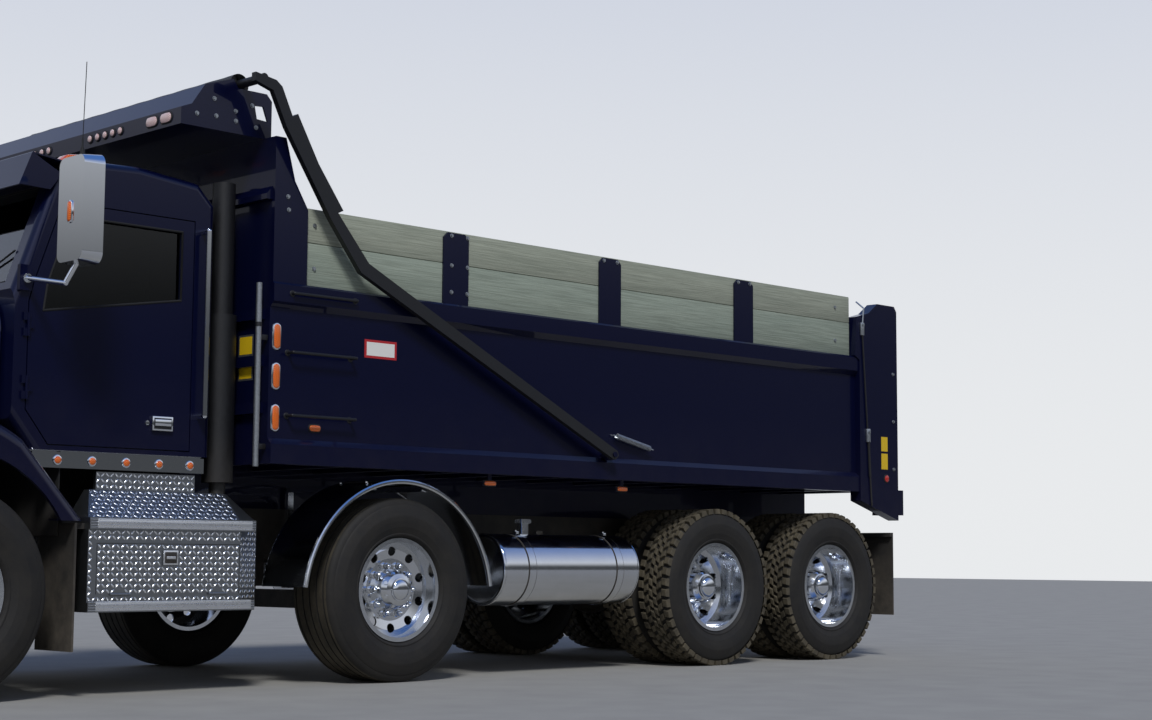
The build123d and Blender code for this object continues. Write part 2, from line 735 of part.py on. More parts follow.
fender_skins = []
for name, side in SIDES:
    with BuildPart() as fender:
        with BuildSketch(Plane.XZ.offset(-max(side * fender_inner, side * fender_half))) as face:
            with BuildLine():
                fender_outline()
                Line(fender_front, fender_toe)
                ThreePointArc(fender_toe, (arch_x, arch_z + arch_radius), arch_tail)
                Line(arch_tail, fender_tail)
            make_face()
        extrude(amount=fender_half - fender_inner)
        outer = fender.faces().sort_by(Axis.Y)[-1 if side > 0 else 0]
        # round all of the outer rim but the wheel arch and the two lower ends
        hub = Vector(arch_x, side * fender_half, arch_z)
        rim = outer.edges().filter_by(
            lambda edge: abs((edge.center() - hub).length - arch_radius) > 40
            and (edge.center().Z > fender_tail[1] + 5 or edge.center().X > fender_toe[0] + 290))
        fillet(rim, fender_round)
        # hollow behind the skin, open towards the engine bay
        low_y, high_y = band(side, fender_inner - 1, fender_half - hood_wall)
        with BuildSketch(Plane.XZ.offset(-high_y)) as pocket:
            with BuildLine():
                fender_outline()
                Line(fender_front, fender_tail)
            make_face()
            offset(amount=-hood_wall, kind=Kind.INTERSECTION)
        extrude(amount=high_y - low_y, mode=Mode.SUBTRACT)
    fender_skins.append(fender.part)

with BuildPart() as hood:
    loft([hood_section(*row) for row in HOOD], ruled=True)
    for skin in fender_skins:
        add(skin)
    # the part of each fender beside the cab stays outboard of it
    block((2400, hood_rear_x), (-cab_half - 32, cab_half + 32), (600, 1500), mode=Mode.SUBTRACT)
    # hollow under the hood
    loft([hood_section(x + (index - 1) * 2, half - hood_wall, low - 400, top - hood_wall,
                       corner - hood_wall)
          for index, (x, half, low, top, corner) in enumerate(HOOD)], ruled=True, mode=Mode.SUBTRACT)
    for name, side in SIDES:
        rod_y(arch_x, arch_z, arch_radius, band(side, 400, 1150), mode=Mode.SUBTRACT)
        side_slab(((4285, 908), (4285, 926), (4329, 926), (4329, 903), (4400, 886), (4412, 850),
                   (4400, 824), (4368, 822), (4324, 903)), band(side, 352, 372))
        rod_y(hood_hinge_x, hood_hinge_z, hood_pin_r + 0.5, band(side, 350, 374), mode=Mode.SUBTRACT)
        with BuildSketch(Plane.YZ.offset(lamp_seat_x)) as pocket:
            with Locations((side * lamp_y, lamp_z)):
                RectangleRounded(lamp_width, lamp_height, 40)
        extrude(pocket.sketch, amount=60, mode=Mode.SUBTRACT)
    block((4285, hood_nose_x - 1), (-510, 510), (905, 925))
save(hood, "hood")

# Grille: a surround on the hood's nose with upright bars
grille_x = hood_nose_x + 0.3
with BuildPart() as grille:
    with BuildSketch(Plane.YZ.offset(grille_x)) as surround:
        with Locations((0, 1320)):
            RectangleRounded(1040, 830, 130)
        with Locations((0, 1320)):
            RectangleRounded(900, 700, 90, mode=Mode.SUBTRACT)
    extrude(surround.sketch, amount=30)
    for y in range(-400, 401, 80):
        block((grille_x + 8, grille_x + 24), (y - 9, y + 9), (965, 1675))
    block((grille_x + 4, grille_x + 14), (-455, 455), (1310, 1330))
save(grille, "grille")

# Headlamps in the front of the fenders
with BuildPart() as headlamps:
    for name, side in SIDES:
        with BuildSketch(Plane.YZ.offset(lamp_seat_x + 0.3)) as lens:
            with Locations((side * lamp_y, lamp_z)):
                RectangleRounded(lamp_width - 0.6, lamp_height - 0.6, 39.7)
        extrude(lens.sketch, amount=45)
save(headlamps, "headlamps")

# Step boxes under the cab: hollow, with a drop down door, treads and a riser
box_door_rear_x = 1560
box_door_front_x = 2435
box_door_low_z = 520
box_door_high_z = 780
box_knuckle_r = 6
riser_z = 1056
riser_y = 1012
box_hinge_y = step_outer_y + box_knuckle_r + 2
BOX_HINGES_X = (1700, 2295)
with BuildPart() as step_boxes:
    for name, side in SIDES:
        # the rear outer corner is cut off at a slant
        plan_slab(((step_rear_x, side * step_inner_y), (step_front_x, side * step_inner_y),
                   (step_front_x, side * step_outer_y), (step_rear_x + step_cut_x, side * step_outer_y),
                   (step_rear_x, side * (step_outer_y - step_cut_y))), (step_low_z, step_high_z))
        plan_slab(((step_rear_x + step_wall, side * (step_inner_y + step_wall)),
                   (step_front_x - step_wall, side * (step_inner_y + step_wall)),
                   (step_front_x - step_wall, side * (step_outer_y - step_wall)),
                   (step_rear_x + step_cut_x, side * (step_outer_y - step_wall)),
                   (step_rear_x + step_wall, side * (step_outer_y - step_cut_y - 8))),
                  (step_low_z + step_wall, step_high_z - step_wall), mode=Mode.SUBTRACT)
        block((box_door_rear_x, box_door_front_x),
              band(side, step_outer_y - step_wall - 2, step_outer_y + 2),
              (box_door_low_z, box_door_high_z), mode=Mode.SUBTRACT)
        # treads along the outer edge
        for low, high in ((step_low_z, step_low_z + 50), (step_high_z - 60, step_high_z)):
            block((step_rear_x + step_cut_x - 90, step_front_x),
                  band(side, step_outer_y - 12, step_outer_y + 14), (low, high))
        # wedge shaped riser on the box's top, and the panel from it up to the cab
        foot = ((step_rear_x + 5, riser_y), (step_front_x - 1, riser_y), (step_front_x - 1, step_outer_y - 8),
                (step_rear_x + step_cut_x, step_outer_y - 8), (step_rear_x + 5, step_outer_y - 105))
        head = ((1540, riser_y), (step_front_x - 90, riser_y), (step_front_x - 90, 1060), (1562, 1060),
                (1540, 1045))
        with BuildSketch(Plane.XY.offset(step_high_z - 1)) as low_edge:
            with BuildLine():
                Polyline(*((x, side * y) for x, y in foot), close=True)
            make_face()
        with BuildSketch(Plane.XY.offset(riser_z)) as high_edge:
            with BuildLine():
                Polyline(*((x, side * y) for x, y in head), close=True)
            make_face()
        loft([low_edge.sketch, high_edge.sketch], ruled=True)
        block((1740, step_front_x - 140), band(side, riser_y + 3, riser_y + 30), (riser_z - 1, 1150))
        # brackets to the rail
        for x in (1600, 2300):
            block((x, x + 60), band(side, rail_y + 0.5, step_inner_y + 5), (800, 880))
        # hinge knuckles below the ends of the door opening
        for x in BOX_HINGES_X:
            for end in (x - knuckle - knuckle_gap, x + knuckle + knuckle_gap):
                rod_x(side * box_hinge_y, box_door_low_z, box_knuckle_r, (end - knuckle / 2, end + knuckle / 2))
                block((end - knuckle / 2, end + knuckle / 2), band(side, step_outer_y - 4, box_hinge_y),
                      (box_door_low_z - box_knuckle_r, box_door_low_z - 1))
save(step_boxes, "step_boxes")

for name, side in SIDES:
    with BuildPart() as box_door:
        block((box_door_rear_x + 3, box_door_front_x - 3),
              band(side, step_outer_y - box_door_thick, step_outer_y),
              (box_door_low_z + 0.3, box_door_high_z - 3))
        block((1955, 2045), band(side, step_outer_y - 2, step_outer_y + 8), (670, 745))
        for x in BOX_HINGES_X:
            rod_x(side * box_hinge_y, box_door_low_z, box_knuckle_r, (x - knuckle / 2, x + knuckle / 2))
            block((x - knuckle / 2, x + knuckle / 2), band(side, step_outer_y - 4, box_hinge_y),
                  (box_door_low_z + 1, box_door_low_z + box_knuckle_r))
    save(box_door, "box_door_" + name)

# Fuel and oil tanks: a drum on each side between the lift and drive axles
tank_rear_x = -1600
tank_front_x = -400
tank_y = 995
tank_z = 645
tank_r = 222
with BuildPart() as tanks:
    for name, side in SIDES:
        y = side * tank_y
        rod_x(y, tank_z, tank_r, (tank_rear_x, tank_front_x))
        ends = tanks.edges().filter_by(GeomType.CIRCLE).filter_by(
            lambda edge: abs(edge.radius - tank_r) < 1 and edge.center().Y * side > 0)
        fillet(ends, 22)
        for x in (-1414, -632):
            rod_x(y, tank_z, tank_r + 5, (x - 28, x + 28))
            block((x - 30, x + 30), band(side, rail_y + 0.5, tank_y - 60),
                  (tank_z - 120, tank_z - 70))
            block((x - 30, x + 30), band(side, rail_y + 0.5, rail_y + 30), (tank_z - 120, 900))
        rod_z(-790, side * (tank_y - 40), 38, (tank_z + 150, tank_z + 300))
        rod_z(-790, side * (tank_y - 40), 50, (tank_z + 290, tank_z + 318))
save(tanks, "tanks")

# Half round fenders over the lift axle wheels
fender_x = 468
fender_z = 460
fender_r = 705
fender_sheet = 5
with BuildPart() as lift_fenders:
    for name, side in SIDES:
        limits = band(side, 880, 1280)
        rod_y(fender_x, fender_z, fender_r, limits)
    for name, side in SIDES:
        limits = band(side, 879, 1281)
        rod_y(fender_x, fender_z, fender_r - fender_sheet, limits, mode=Mode.SUBTRACT)
        block((fender_x - 800, fender_x + 800), limits, (fender_z - 800, fender_z + 90),
              mode=Mode.SUBTRACT)
        for x in (fender_x - 210, fender_x + 170):
            block((x, x + 40), band(side, rail_y + 0.5, rail_y + 20), (860, 1134))
            block((x, x + 40), band(side, rail_y + 0.5, 1240), (1100, 1134))
save(lift_fenders, "lift_fenders")

# Mud flaps behind the front wheels and behind the last drive axle
with BuildPart() as mud_flaps:
    for name, side in SIDES:
        block((2545, 2557), band(side, fender_half - 365, fender_half - 5), (234, 880))
        block((step_front_x + 0.5, 2546), band(side, fender_half - 315, fender_half - 35), (850, 880))
        block((hinge_x - 67, hinge_x - 55), band(side, 640, 1240), (310, 925))
        block((hinge_x - 56, hinge_x - 25), band(side, rail_y + hinge_plate + 0.5, 1240), (895, 925))
save(mud_flaps, "mud_flaps")

# Dump body: floor on long sills and cross sills, rolled side rails, bulkhead,
# rear posts, stake pockets and the hinge lugs.
wall_profile = ((1280, 1222), (1280, 1330), (1245, 1362), (1245, 2085), (1280, 2118),
                (1280, 2214), (1268, 2226), (1190, 2226), (1190, 2112), (1215, 2085), (1215, 1222))
STAKES_X = (65, -1270, -2615)
with BuildPart() as dump_body:
    for name, side in SIDES:
        front_slab(tuple((side * y, z) for y, z in wall_profile), (post_rear_x, body_front_x))
        # long sill and hinge lug
        block((hinge_x + 75, body_front_x), band(side, sill_inner_y, sill_outer_y),
              (body_sill_z, floor_z - floor_plate))
        side_slab(((hinge_x - 40, hinge_z - 50), (hinge_x + 40, hinge_z - 50),
                   (hinge_x + 62, hinge_z), (hinge_x + 76, hinge_z + 40),
                   (hinge_x + 76, floor_z - floor_plate), (hinge_x - 62, floor_z - floor_plate),
                   (hinge_x - 62, hinge_z)), band(side, sill_inner_y, sill_outer_y))
        rod_y(hinge_x, hinge_z, hinge_pin + hinge_gap, band(side, sill_inner_y - 1, sill_outer_y + 1),
              mode=Mode.SUBTRACT)
        # wing plate between the rail and the bulkhead top
        side_slab(((board_front_x + 5, body_rail_z - 5), (body_front_x, body_rail_z - 5),
                   (body_front_x, guard_low_z), (body_front_x - 70, guard_low_z),
                   (body_front_x - 136, guard_low_z - 236), (board_front_x + 5, guard_low_z - 389)),
                  band(side, 1238, 1268))
        # stake pockets for the sideboards
        for x in STAKES_X:
            side_slab(((x - 100, 2215), (x + 100, 2215), (x + 100, 2630), (x + 70, 2660),
                       (x - 70, 2660), (x - 100, 2630)), band(side, 1243, 1256))
        # rear post with the tail lamp box below it
        side_slab(((post_front_x, 1155), (post_rear_x, 1016), (post_rear_x, 2600),
                   (post_rear_x + 30, post_top_z), (-4130, post_top_z), (-4020, 2560),
                   (-3870, 2520), (-3850, 2230), (post_front_x, 2200)), band(side, 1196, 1290))
        block((-4565, -4440), band(side, 1000, 1200), (1060, 1250))
        block((-4445, post_rear_x + 5), band(side, 1160, 1200), (1180, 1250))
        # tailgate hinge bracket and pin on the post
        block((gate_pivot_x - 45, post_rear_x + 5), band(side, 1150, 1200),
              (gate_pivot_z - 45, gate_pivot_z + 45))
        rod_y(gate_pivot_x, gate_pivot_z, 16, band(side, 1105, 1155))
        # tarp arm pivot
        rod_y(arm_pivot_x, arm_pivot_z, 36, band(side, 1240, arm_inner_y - 1))
        rod_y(arm_pivot_x, arm_pivot_z, 18, band(side, arm_inner_y - 2, arm_inner_y + arm_thick + 8))
    block((post_rear_x, body_front_x - bulkhead_thick + 2), (-1220, 1220),
          (floor_z - floor_plate, floor_z))
    block((tail_x, post_rear_x + 2), (-1140, 1140), (floor_z - floor_plate, floor_z))
    block((body_front_x - bulkhead_thick, body_front_x), (-wall_y, wall_y), (skirt_z, guard_low_z))
    for x in range(-4100, 1300, 450):
        block((x, x + 60), (-1216, 1216), (skirt_z, floor_z - floor_plate + 1))
    # ribs on the front of the bulkhead
    for z in (1500, 1760, 2020):
        block((body_front_x - 1, body_front_x + 30), (-1200, 1200), (z, z + 60))
    side_slab(((body_front_x - 1, 2762), (body_front_x + 38, 2716), (body_front_x + 38, 2686),
               (body_front_x - 1, 2686)), (-1245, 1245))
    # bosses on the long sills that the hoist's upper pin ends in
    for name, side in SIDES:
        rod_y(hoist_high_x, hoist_high_z, hoist_eye_r, band(side, sill_inner_y - hoist_boss, sill_inner_y + 1))
save(dump_body, "dump_body")

# Sideboards: two boards a side, standing on the body's top rail
with BuildPart() as sideboards:
    for name, side in SIDES:
        face = band(side, 1242.5 - board_thick, 1242.5)
        block((post_front_x + 60, board_front_x), face, (body_rail_z + 0.3, board_split_z - board_gap))
        block((post_front_x + 60, board_front_x), face, (board_split_z, board_top_z))
save(sideboards, "sideboards")

# Cab guard: a floor sheet over the cab, a front lip for lamps, a sloping
# deflector and a cheek plate at each end with its lightening hole.
sheet = 12
guard_lip_z = guard_low_z + 93
guard_rear_x = body_front_x - bulkhead_thick
lip_bend = (guard_front_x - 67, guard_lip_z + 27)
lip_tip = (guard_front_x - 149, guard_lip_z + 149)
with BuildPart() as cab_guard:
    block((guard_rear_x, guard_front_x), (-guard_half, guard_half),
          (guard_low_z + 0.3, guard_low_z + 20))
    block((guard_front_x - sheet, guard_front_x), (-guard_half, guard_half),
          (guard_low_z + 0.3, guard_lip_z))
    side_slab(((guard_front_x, guard_lip_z), lip_bend, lip_tip,
               (lip_tip[0] - 11, lip_tip[1] - 7), (lip_bend[0] - 9, lip_bend[1] - sheet),
               (guard_front_x - sheet, guard_lip_z - sheet)), (-guard_half, guard_half))
    for name, side in SIDES:
        side_slab(((guard_rear_x, guard_low_z + 0.3), (guard_front_x, guard_low_z + 0.3),
                   (guard_front_x, guard_lip_z), lip_bend, lip_tip,
                   (guard_rear_x + 262, guard_top_z), (guard_rear_x + 229, guard_top_z - 48),
                   (guard_rear_x + 35, guard_top_z - 48), (guard_rear_x, guard_top_z - 85)),
                  band(side, guard_half - sheet, guard_half))
        side_slab(((guard_rear_x + 116, guard_lip_z + 85), (guard_rear_x + 58, guard_lip_z + 89),
                   (guard_rear_x + 26, guard_lip_z + 7), (guard_rear_x + 100, guard_lip_z + 12)),
                  band(side, guard_half - sheet - 1, guard_half + 1), mode=Mode.SUBTRACT)
save(cab_guard, "cab_guard")

# Steps and grab bars on the body's front corners, and the upright pole
with BuildPart() as body_steps:
    for name, side in SIDES:
        for z in (2168, 1840, 1490):
            outer = side * 1302
            base = side * (1280.3 if z > 2100 else 1245.3)
            bar((850, outer, z), (1290, outer, z), 9)
            for x in (850, 1290):
                bar((x, base, z), (x, outer, z), 9)
                with Locations((x, outer, z)):
                    Sphere(9)
        rod_z(1475, side * 1225, 17, (1205, 2215))
        for z in (1300, 1900):
            block((body_front_x + 0.5, 1475), band(side, 1215, 1235), (z, z + 30))
save(body_steps, "body_steps")

# Lamps on the dump body, left and right alike
guard_lamp_z = guard_low_z + 50
with BuildPart() as body_lamps:
    for name, side in SIDES:
        for z in (1475, 1705, 1925):
            block((1340, 1395), band(side, 1245.3, 1262), (z - 75, z + 75))
        block((1050, 1140), band(side, 1245.3, 1258), (1410, 1450))
        for x in (-255, -1418):
            block((x - 55, x + 55), band(side, 1216.3, 1240), (1150, 1185))
            block((x - 15, x + 15), band(side, 1216.3, 1226), (1184, skirt_z - 0.5))
        rod_y(-4225, 1327, 32, band(side, 1290.3, 1304))
        rod_x(side * 1100, 1155, 55, (-4575, -4565.3))
    for name, side in SIDES:
        for y in (230, 310, 390, 470, 550):
            rod_x(side * y, guard_lamp_z, 24, (guard_front_x + 0.3, guard_front_x + 16))
        for y in (870, 1010):
            with BuildSketch(Plane.YZ.offset(guard_front_x + 0.3)) as lens:
                with Locations((side * y, guard_lamp_z)):
                    RectangleRounded(120, 62, 28)
            extrude(lens.sketch, amount=14)
save(body_lamps, "body_lamps")

# Tailgate: a ribbed plate hung from its two ears
with BuildPart() as tailgate:
    block((gate_front_x - 24, gate_front_x), (-gate_half, gate_half), (gate_low_z, gate_top_z))
    for y in (-1150, -575, 0, 575, 1150):
        block((gate_front_x - gate_thick, gate_front_x - 20), (y - 35, y + 35), (gate_low_z, gate_top_z))
    for z in (gate_low_z, 1740, gate_top_z - 90):
        block((gate_front_x - gate_thick, gate_front_x - 20), (-gate_half, gate_half), (z, z + 90))
    for name, side in SIDES:
        side_slab(((gate_front_x - gate_thick, gate_top_z - 10), (gate_front_x, gate_top_z - 10),
                   (gate_pivot_x + 36, gate_pivot_z), (gate_pivot_x + 20, gate_pivot_z + 32),
                   (gate_pivot_x - 20, gate_pivot_z + 32), (gate_pivot_x - 36, gate_pivot_z)),
                  band(side, 1115, 1142))
        rod_y(gate_pivot_x, gate_pivot_z, 16.5, band(side, 1114, 1143), mode=Mode.SUBTRACT)
save(tailgate, "tailgate")

# Tarp frame: a bent arm each side on the body's pivots, with the rolled tarp
# between their tips
with BuildPart() as tarp_arms:
    for name, side in SIDES:
        limits = band(side, arm_inner_y, arm_inner_y + arm_thick)
        side_slab(((arm_pivot_x - 24, arm_pivot_z + 24), (arm_bend_x - 30, arm_bend_z + 28),
                   (1032, 2640), (1330, 3070), (1440, 3300), (1480, 3330), (1620, 3352),
                   (1620, 3305), (1500, 3270), (1405, 3080), (1085, 2603), (arm_bend_x + 25, arm_bend_z - 30),
                   (arm_pivot_x + 24, arm_pivot_z - 24), (arm_pivot_x - 10, arm_pivot_z - 32),
                   (arm_pivot_x - 38, arm_pivot_z - 4)), limits)
        rod_y(arm_pivot_x, arm_pivot_z, 18.5, band(side, arm_inner_y - 1, arm_inner_y + arm_thick + 1),
              mode=Mode.SUBTRACT)
        # second bar behind the upper run
        side_slab(((1000, 2663), (1180, 2905), (1330, 3165), (1372, 3140), (1225, 2880), (1046, 2640)),
                  limits)
    rod_y(arm_tip_x + 15, 3330, 25, (-arm_inner_y - arm_thick, arm_inner_y + arm_thick))
save(tarp_arms, "tarp_arms")

# Springs beside the arms' pivots, between a hook and a bracket on the wall
spring_y = 1278
spring_r = 20
with BuildPart() as tarp_springs:
    for name, side in SIDES:
        y = side * spring_y
        bar((-1290, y, 1508), (-1648, y, 1432), spring_r)
        for x, z in ((-1275, 1511), (-1663, 1429)):
            rod_y(x, z, 11, band(side, wall_y + 0.3, spring_y + 22))
            bar((x, y, z), (-1469, y, 1470), 6)
save(tarp_springs, "tarp_springs")

with BuildPart() as tarp_roll:
    rod_y(arm_tip_x + 15, 3330, 66, (-1110, 1110))
    rod_y(arm_tip_x + 15, 3330, 25.3, (-1111, 1111), mode=Mode.SUBTRACT)
save(tarp_roll, "tarp_roll")

# Hoist: a barrel on the frame's pin, and its rod up to the body's pin
hoist_run = Vector(hoist_high_x - hoist_low_x, 0, hoist_high_z - hoist_low_z)
hoist_dir = hoist_run.normalized()
low_eye = Vector(hoist_low_x, 0, hoist_low_z)
high_eye = Vector(hoist_high_x, 0, hoist_high_z)
barrel_end = low_eye + hoist_dir * hoist_barrel_length
with BuildPart() as hoist_barrel:
    bar(tuple(low_eye + hoist_dir * 110), tuple(barrel_end), hoist_barrel_r)
    rod_y(hoist_low_x, hoist_low_z, 50, (-hoist_eye_half, hoist_eye_half))
    bar(tuple(low_eye), tuple(low_eye + hoist_dir * 115), 48)
    rod_y(hoist_low_x, hoist_low_z, hoist_pin_r + hoist_gap, (-hoist_eye_half - 1, hoist_eye_half + 1),
          mode=Mode.SUBTRACT)
    bar(tuple(low_eye + hoist_dir * 140), tuple(barrel_end + hoist_dir * 5),
        hoist_rod_r + hoist_gap, mode=Mode.SUBTRACT)
save(hoist_barrel, "hoist_barrel")

with BuildPart() as hoist_rod:
    bar(tuple(low_eye + hoist_dir * 160), tuple(high_eye - hoist_dir * 30), hoist_rod_r)
    rod_y(hoist_high_x, hoist_high_z, hoist_eye_r, (-hoist_eye_half, hoist_eye_half))
    pin_half = sill_inner_y - hoist_boss - 0.3
    rod_y(hoist_high_x, hoist_high_z, hoist_pin_r, (-pin_half, pin_half))
save(hoist_rod, "hoist_rod")
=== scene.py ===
# %% [markdown]
# # A four axle dump truck
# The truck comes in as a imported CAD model: every panel, wheel and joint is
# already at its real size, in metres, standing on the floor at Z 0. Here it
# gets its finishes and the small things that a CAD model leaves out, such as
# tyre tread, wheel nuts, tread plate and seams. Nothing of the CAD is moved.
# X points forward, Y to the truck's left.

import math

import bmesh
import bpy
from mathutils import Matrix, Vector


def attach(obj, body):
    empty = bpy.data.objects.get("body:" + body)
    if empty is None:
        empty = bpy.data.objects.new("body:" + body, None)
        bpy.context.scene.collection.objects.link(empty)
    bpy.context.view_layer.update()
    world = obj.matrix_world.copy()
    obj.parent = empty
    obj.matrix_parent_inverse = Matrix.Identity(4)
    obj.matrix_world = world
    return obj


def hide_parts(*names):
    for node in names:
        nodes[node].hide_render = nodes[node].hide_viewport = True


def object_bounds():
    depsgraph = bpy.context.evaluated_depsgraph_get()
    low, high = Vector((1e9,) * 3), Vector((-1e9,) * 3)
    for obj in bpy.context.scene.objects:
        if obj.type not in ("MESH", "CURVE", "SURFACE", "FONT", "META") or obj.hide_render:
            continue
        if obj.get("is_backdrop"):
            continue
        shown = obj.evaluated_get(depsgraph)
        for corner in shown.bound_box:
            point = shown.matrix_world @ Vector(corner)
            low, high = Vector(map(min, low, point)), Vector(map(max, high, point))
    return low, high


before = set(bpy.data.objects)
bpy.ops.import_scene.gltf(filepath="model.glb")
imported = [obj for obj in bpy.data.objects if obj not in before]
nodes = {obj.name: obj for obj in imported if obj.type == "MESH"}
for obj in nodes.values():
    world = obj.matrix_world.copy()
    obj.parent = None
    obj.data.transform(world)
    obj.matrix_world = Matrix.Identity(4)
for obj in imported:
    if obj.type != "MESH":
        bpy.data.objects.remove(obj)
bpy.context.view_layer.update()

# %% [markdown]
# ## The camera
# The photo was taken from the truck's left, ahead of it and about knee high,
# with a moderate long lens. The lens and place were worked out from the
# wheels' ellipses and the body's long edges. The camera's own axes are built
# from its yaw, pitch and roll, so that no helper object is needed.

# %% Camera
CAMERA_PLACE = Vector((7.657, 9.881, 0.713))
CAMERA_LENS_MM = 60.18
SENSOR_MM = 36.0
YAW = 0.7848
PITCH = 0.103
ROLL = 0.006

ahead = Vector((-math.sin(YAW) * math.cos(PITCH), -math.cos(YAW) * math.cos(PITCH), math.sin(PITCH)))
level_right = ahead.cross(Vector((0, 0, 1))).normalized()
level_up = level_right.cross(ahead)
camera_right = math.cos(ROLL) * level_right + math.sin(ROLL) * level_up
camera_up = -math.sin(ROLL) * level_right + math.cos(ROLL) * level_up

camera_data = bpy.data.cameras.new("photo_camera")
camera_data.lens = CAMERA_LENS_MM
camera_data.sensor_width = SENSOR_MM
camera_data.sensor_fit = "HORIZONTAL"
camera = bpy.data.objects.new("photo_camera", camera_data)
bpy.context.scene.collection.objects.link(camera)
turn = Matrix((camera_right, camera_up, -ahead)).transposed()
camera.matrix_world = Matrix.Translation(CAMERA_PLACE) @ turn.to_4x4()
bpy.context.scene.camera = camera
print("camera at", [round(x, 2) for x in CAMERA_PLACE], "lens", CAMERA_LENS_MM, "mm")

# %% [markdown]
# ## Colours and nodes
# Colours are written as sRGB hex codes, as a paint chart gives them, and one
# function turns them to the linear values that shaders use. One more function
# adds a shader node with its settings and its links in a single call.


# %% Colour and node helpers
def linear(code, alpha=1.0):
    """An sRGB hex code such as #1b2a4c as linear red, green, blue and alpha."""
    shares = [int(code[i:i + 2], 16) / 255 for i in (1, 3, 5)]
    return tuple(s / 12.92 if s <= 0.04045 else ((s + 0.055) / 1.055) ** 2.4 for s in shares) + (alpha,)


def add_node(tree, kind, inputs=None, **settings):
    """Add a shader node, set its properties and fill its sockets with values or links."""
    node = tree.nodes.new("ShaderNode" + kind)
    for name, value in settings.items():
        setattr(node, name, value)
    for name, value in (inputs or {}).items():
        if isinstance(value, bpy.types.NodeSocket):
            tree.links.new(value, node.inputs[name])
        else:
            node.inputs[name].default_value = value
    return node


def new_finish(name):
    """An empty material with a shader; gives the material, its tree, the shader and object coordinates."""
    material = bpy.data.materials.new(name)
    material.use_nodes = True
    tree = material.node_tree
    tree.nodes.clear()
    shader = add_node(tree, "BsdfPrincipled")
    add_node(tree, "OutputMaterial", {"Surface": shader.outputs[0]})
    place = add_node(tree, "TexCoord").outputs["Object"]
    return material, tree, shader, place


def set_shader(tree, shader, **values):
    """Fill the shader's sockets; Base_Color stands for Base Color."""
    for name, value in values.items():
        socket = shader.inputs[name.replace("_", " ")]
        if isinstance(value, bpy.types.NodeSocket):
            tree.links.new(value, socket)
        else:
            socket.default_value = value


print("mid grey #808080 is", round(linear("#808080")[0], 3), "in linear light")

# %% [markdown]
# ## Floor and light
# A plain pale floor takes the shadow. One soft sun from the front left gives
# the sheet metal its shape, and an even pale world fills the rest. The world
# darkens a little towards its top. Polished metal needs something dark to
# show, or it looks like white paint: so mirror rays alone meet a dark band
# above the horizon, as from trees and buildings round a yard.

# %% Floor, world and sun
FLOOR_SIZE = 120.0
FLOOR_DARK, FLOOR_PALE = "#8e8c87", "#a5a39d"
SKY_LOW = "#eef0f2"
SKY_HIGH = "#4f78bd"
YARD_BAND = "#1a1f26"
WORLD_FILL = 0.5
SUN_STRENGTH = 2.2
SUN_FROM = Vector((0.45, 0.55, 0.8))
SUN_WIDTH_DEG = 12

floor_mesh = bmesh.new()
bmesh.ops.create_grid(floor_mesh, x_segments=1, y_segments=1, size=FLOOR_SIZE / 2)
floor_data = bpy.data.meshes.new("floor")
floor_mesh.to_mesh(floor_data)
floor_mesh.free()
floor = bpy.data.objects.new("floor", floor_data)
bpy.context.scene.collection.objects.link(floor)
material, tree, shader, place = new_finish("floor_concrete")
mottle = add_node(tree, "TexNoise", {"Vector": place, "Scale": 3.0, "Detail": 6.0})
tone = add_node(tree, "Mix", {"Factor": mottle.outputs["Fac"], 6: linear(FLOOR_DARK),
                              7: linear(FLOOR_PALE)}, data_type="RGBA")
set_shader(tree, shader, Base_Color=tone.outputs[2], Roughness=0.85)
floor_data.materials.append(material)
floor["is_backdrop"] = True

world = bpy.data.worlds.new("soft_sky")
world.use_nodes = True
bpy.context.scene.world = world
sky = world.node_tree
sky.nodes.clear()
direction = add_node(sky, "TexCoord").outputs["Generated"]
height = add_node(sky, "SeparateXYZ", {0: direction}).outputs["Z"]
ramp = add_node(sky, "MapRange", {"Value": height, "From Min": 0.0, "From Max": 0.9},
                interpolation_type="SMOOTHSTEP")
shade = add_node(sky, "Mix", {"Factor": ramp.outputs[0], 6: linear(SKY_LOW), 7: linear(SKY_HIGH)},
                 data_type="RGBA")
rays = add_node(sky, "LightPath")
band = add_node(sky, "MapRange", {"Value": height, "From Min": 0.10, "From Max": 0.30, "To Min": 0.93,
                                  "To Max": 0.0}, interpolation_type="SMOOTHSTEP")
band = add_node(sky, "Math", {0: band.outputs[0], 1: rays.outputs["Is Glossy Ray"]}, operation="MULTIPLY")
shade = add_node(sky, "Mix", {"Factor": band.outputs[0], 6: shade.outputs[2], 7: linear(YARD_BAND)},
                 data_type="RGBA")
seen = add_node(sky, "Math", {0: rays.outputs["Is Camera Ray"], 1: rays.outputs["Is Glossy Ray"]},
                operation="MAXIMUM")
seen = add_node(sky, "Math", {0: seen.outputs[0], 1: rays.outputs["Is Transmission Ray"]},
                operation="MAXIMUM")
strength = add_node(sky, "MapRange", {"Value": seen.outputs[0], "To Min": WORLD_FILL, "To Max": 0.95})
background = add_node(sky, "Background", {"Color": shade.outputs[2], "Strength": strength.outputs[0]})
add_node(sky, "OutputWorld", {"Surface": background.outputs[0]})

sun_data = bpy.data.lights.new("sun", "SUN")
sun_data.energy = SUN_STRENGTH
sun_data.angle = math.radians(SUN_WIDTH_DEG)
sun = bpy.data.objects.new("sun", sun_data)
bpy.context.scene.collection.objects.link(sun)
sun.rotation_euler = SUN_FROM.to_track_quat("Z", "Y").to_euler()
bpy.context.scene.view_settings.view_transform = "Standard"
print("floor", FLOOR_SIZE, "m wide; sun", SUN_STRENGTH)

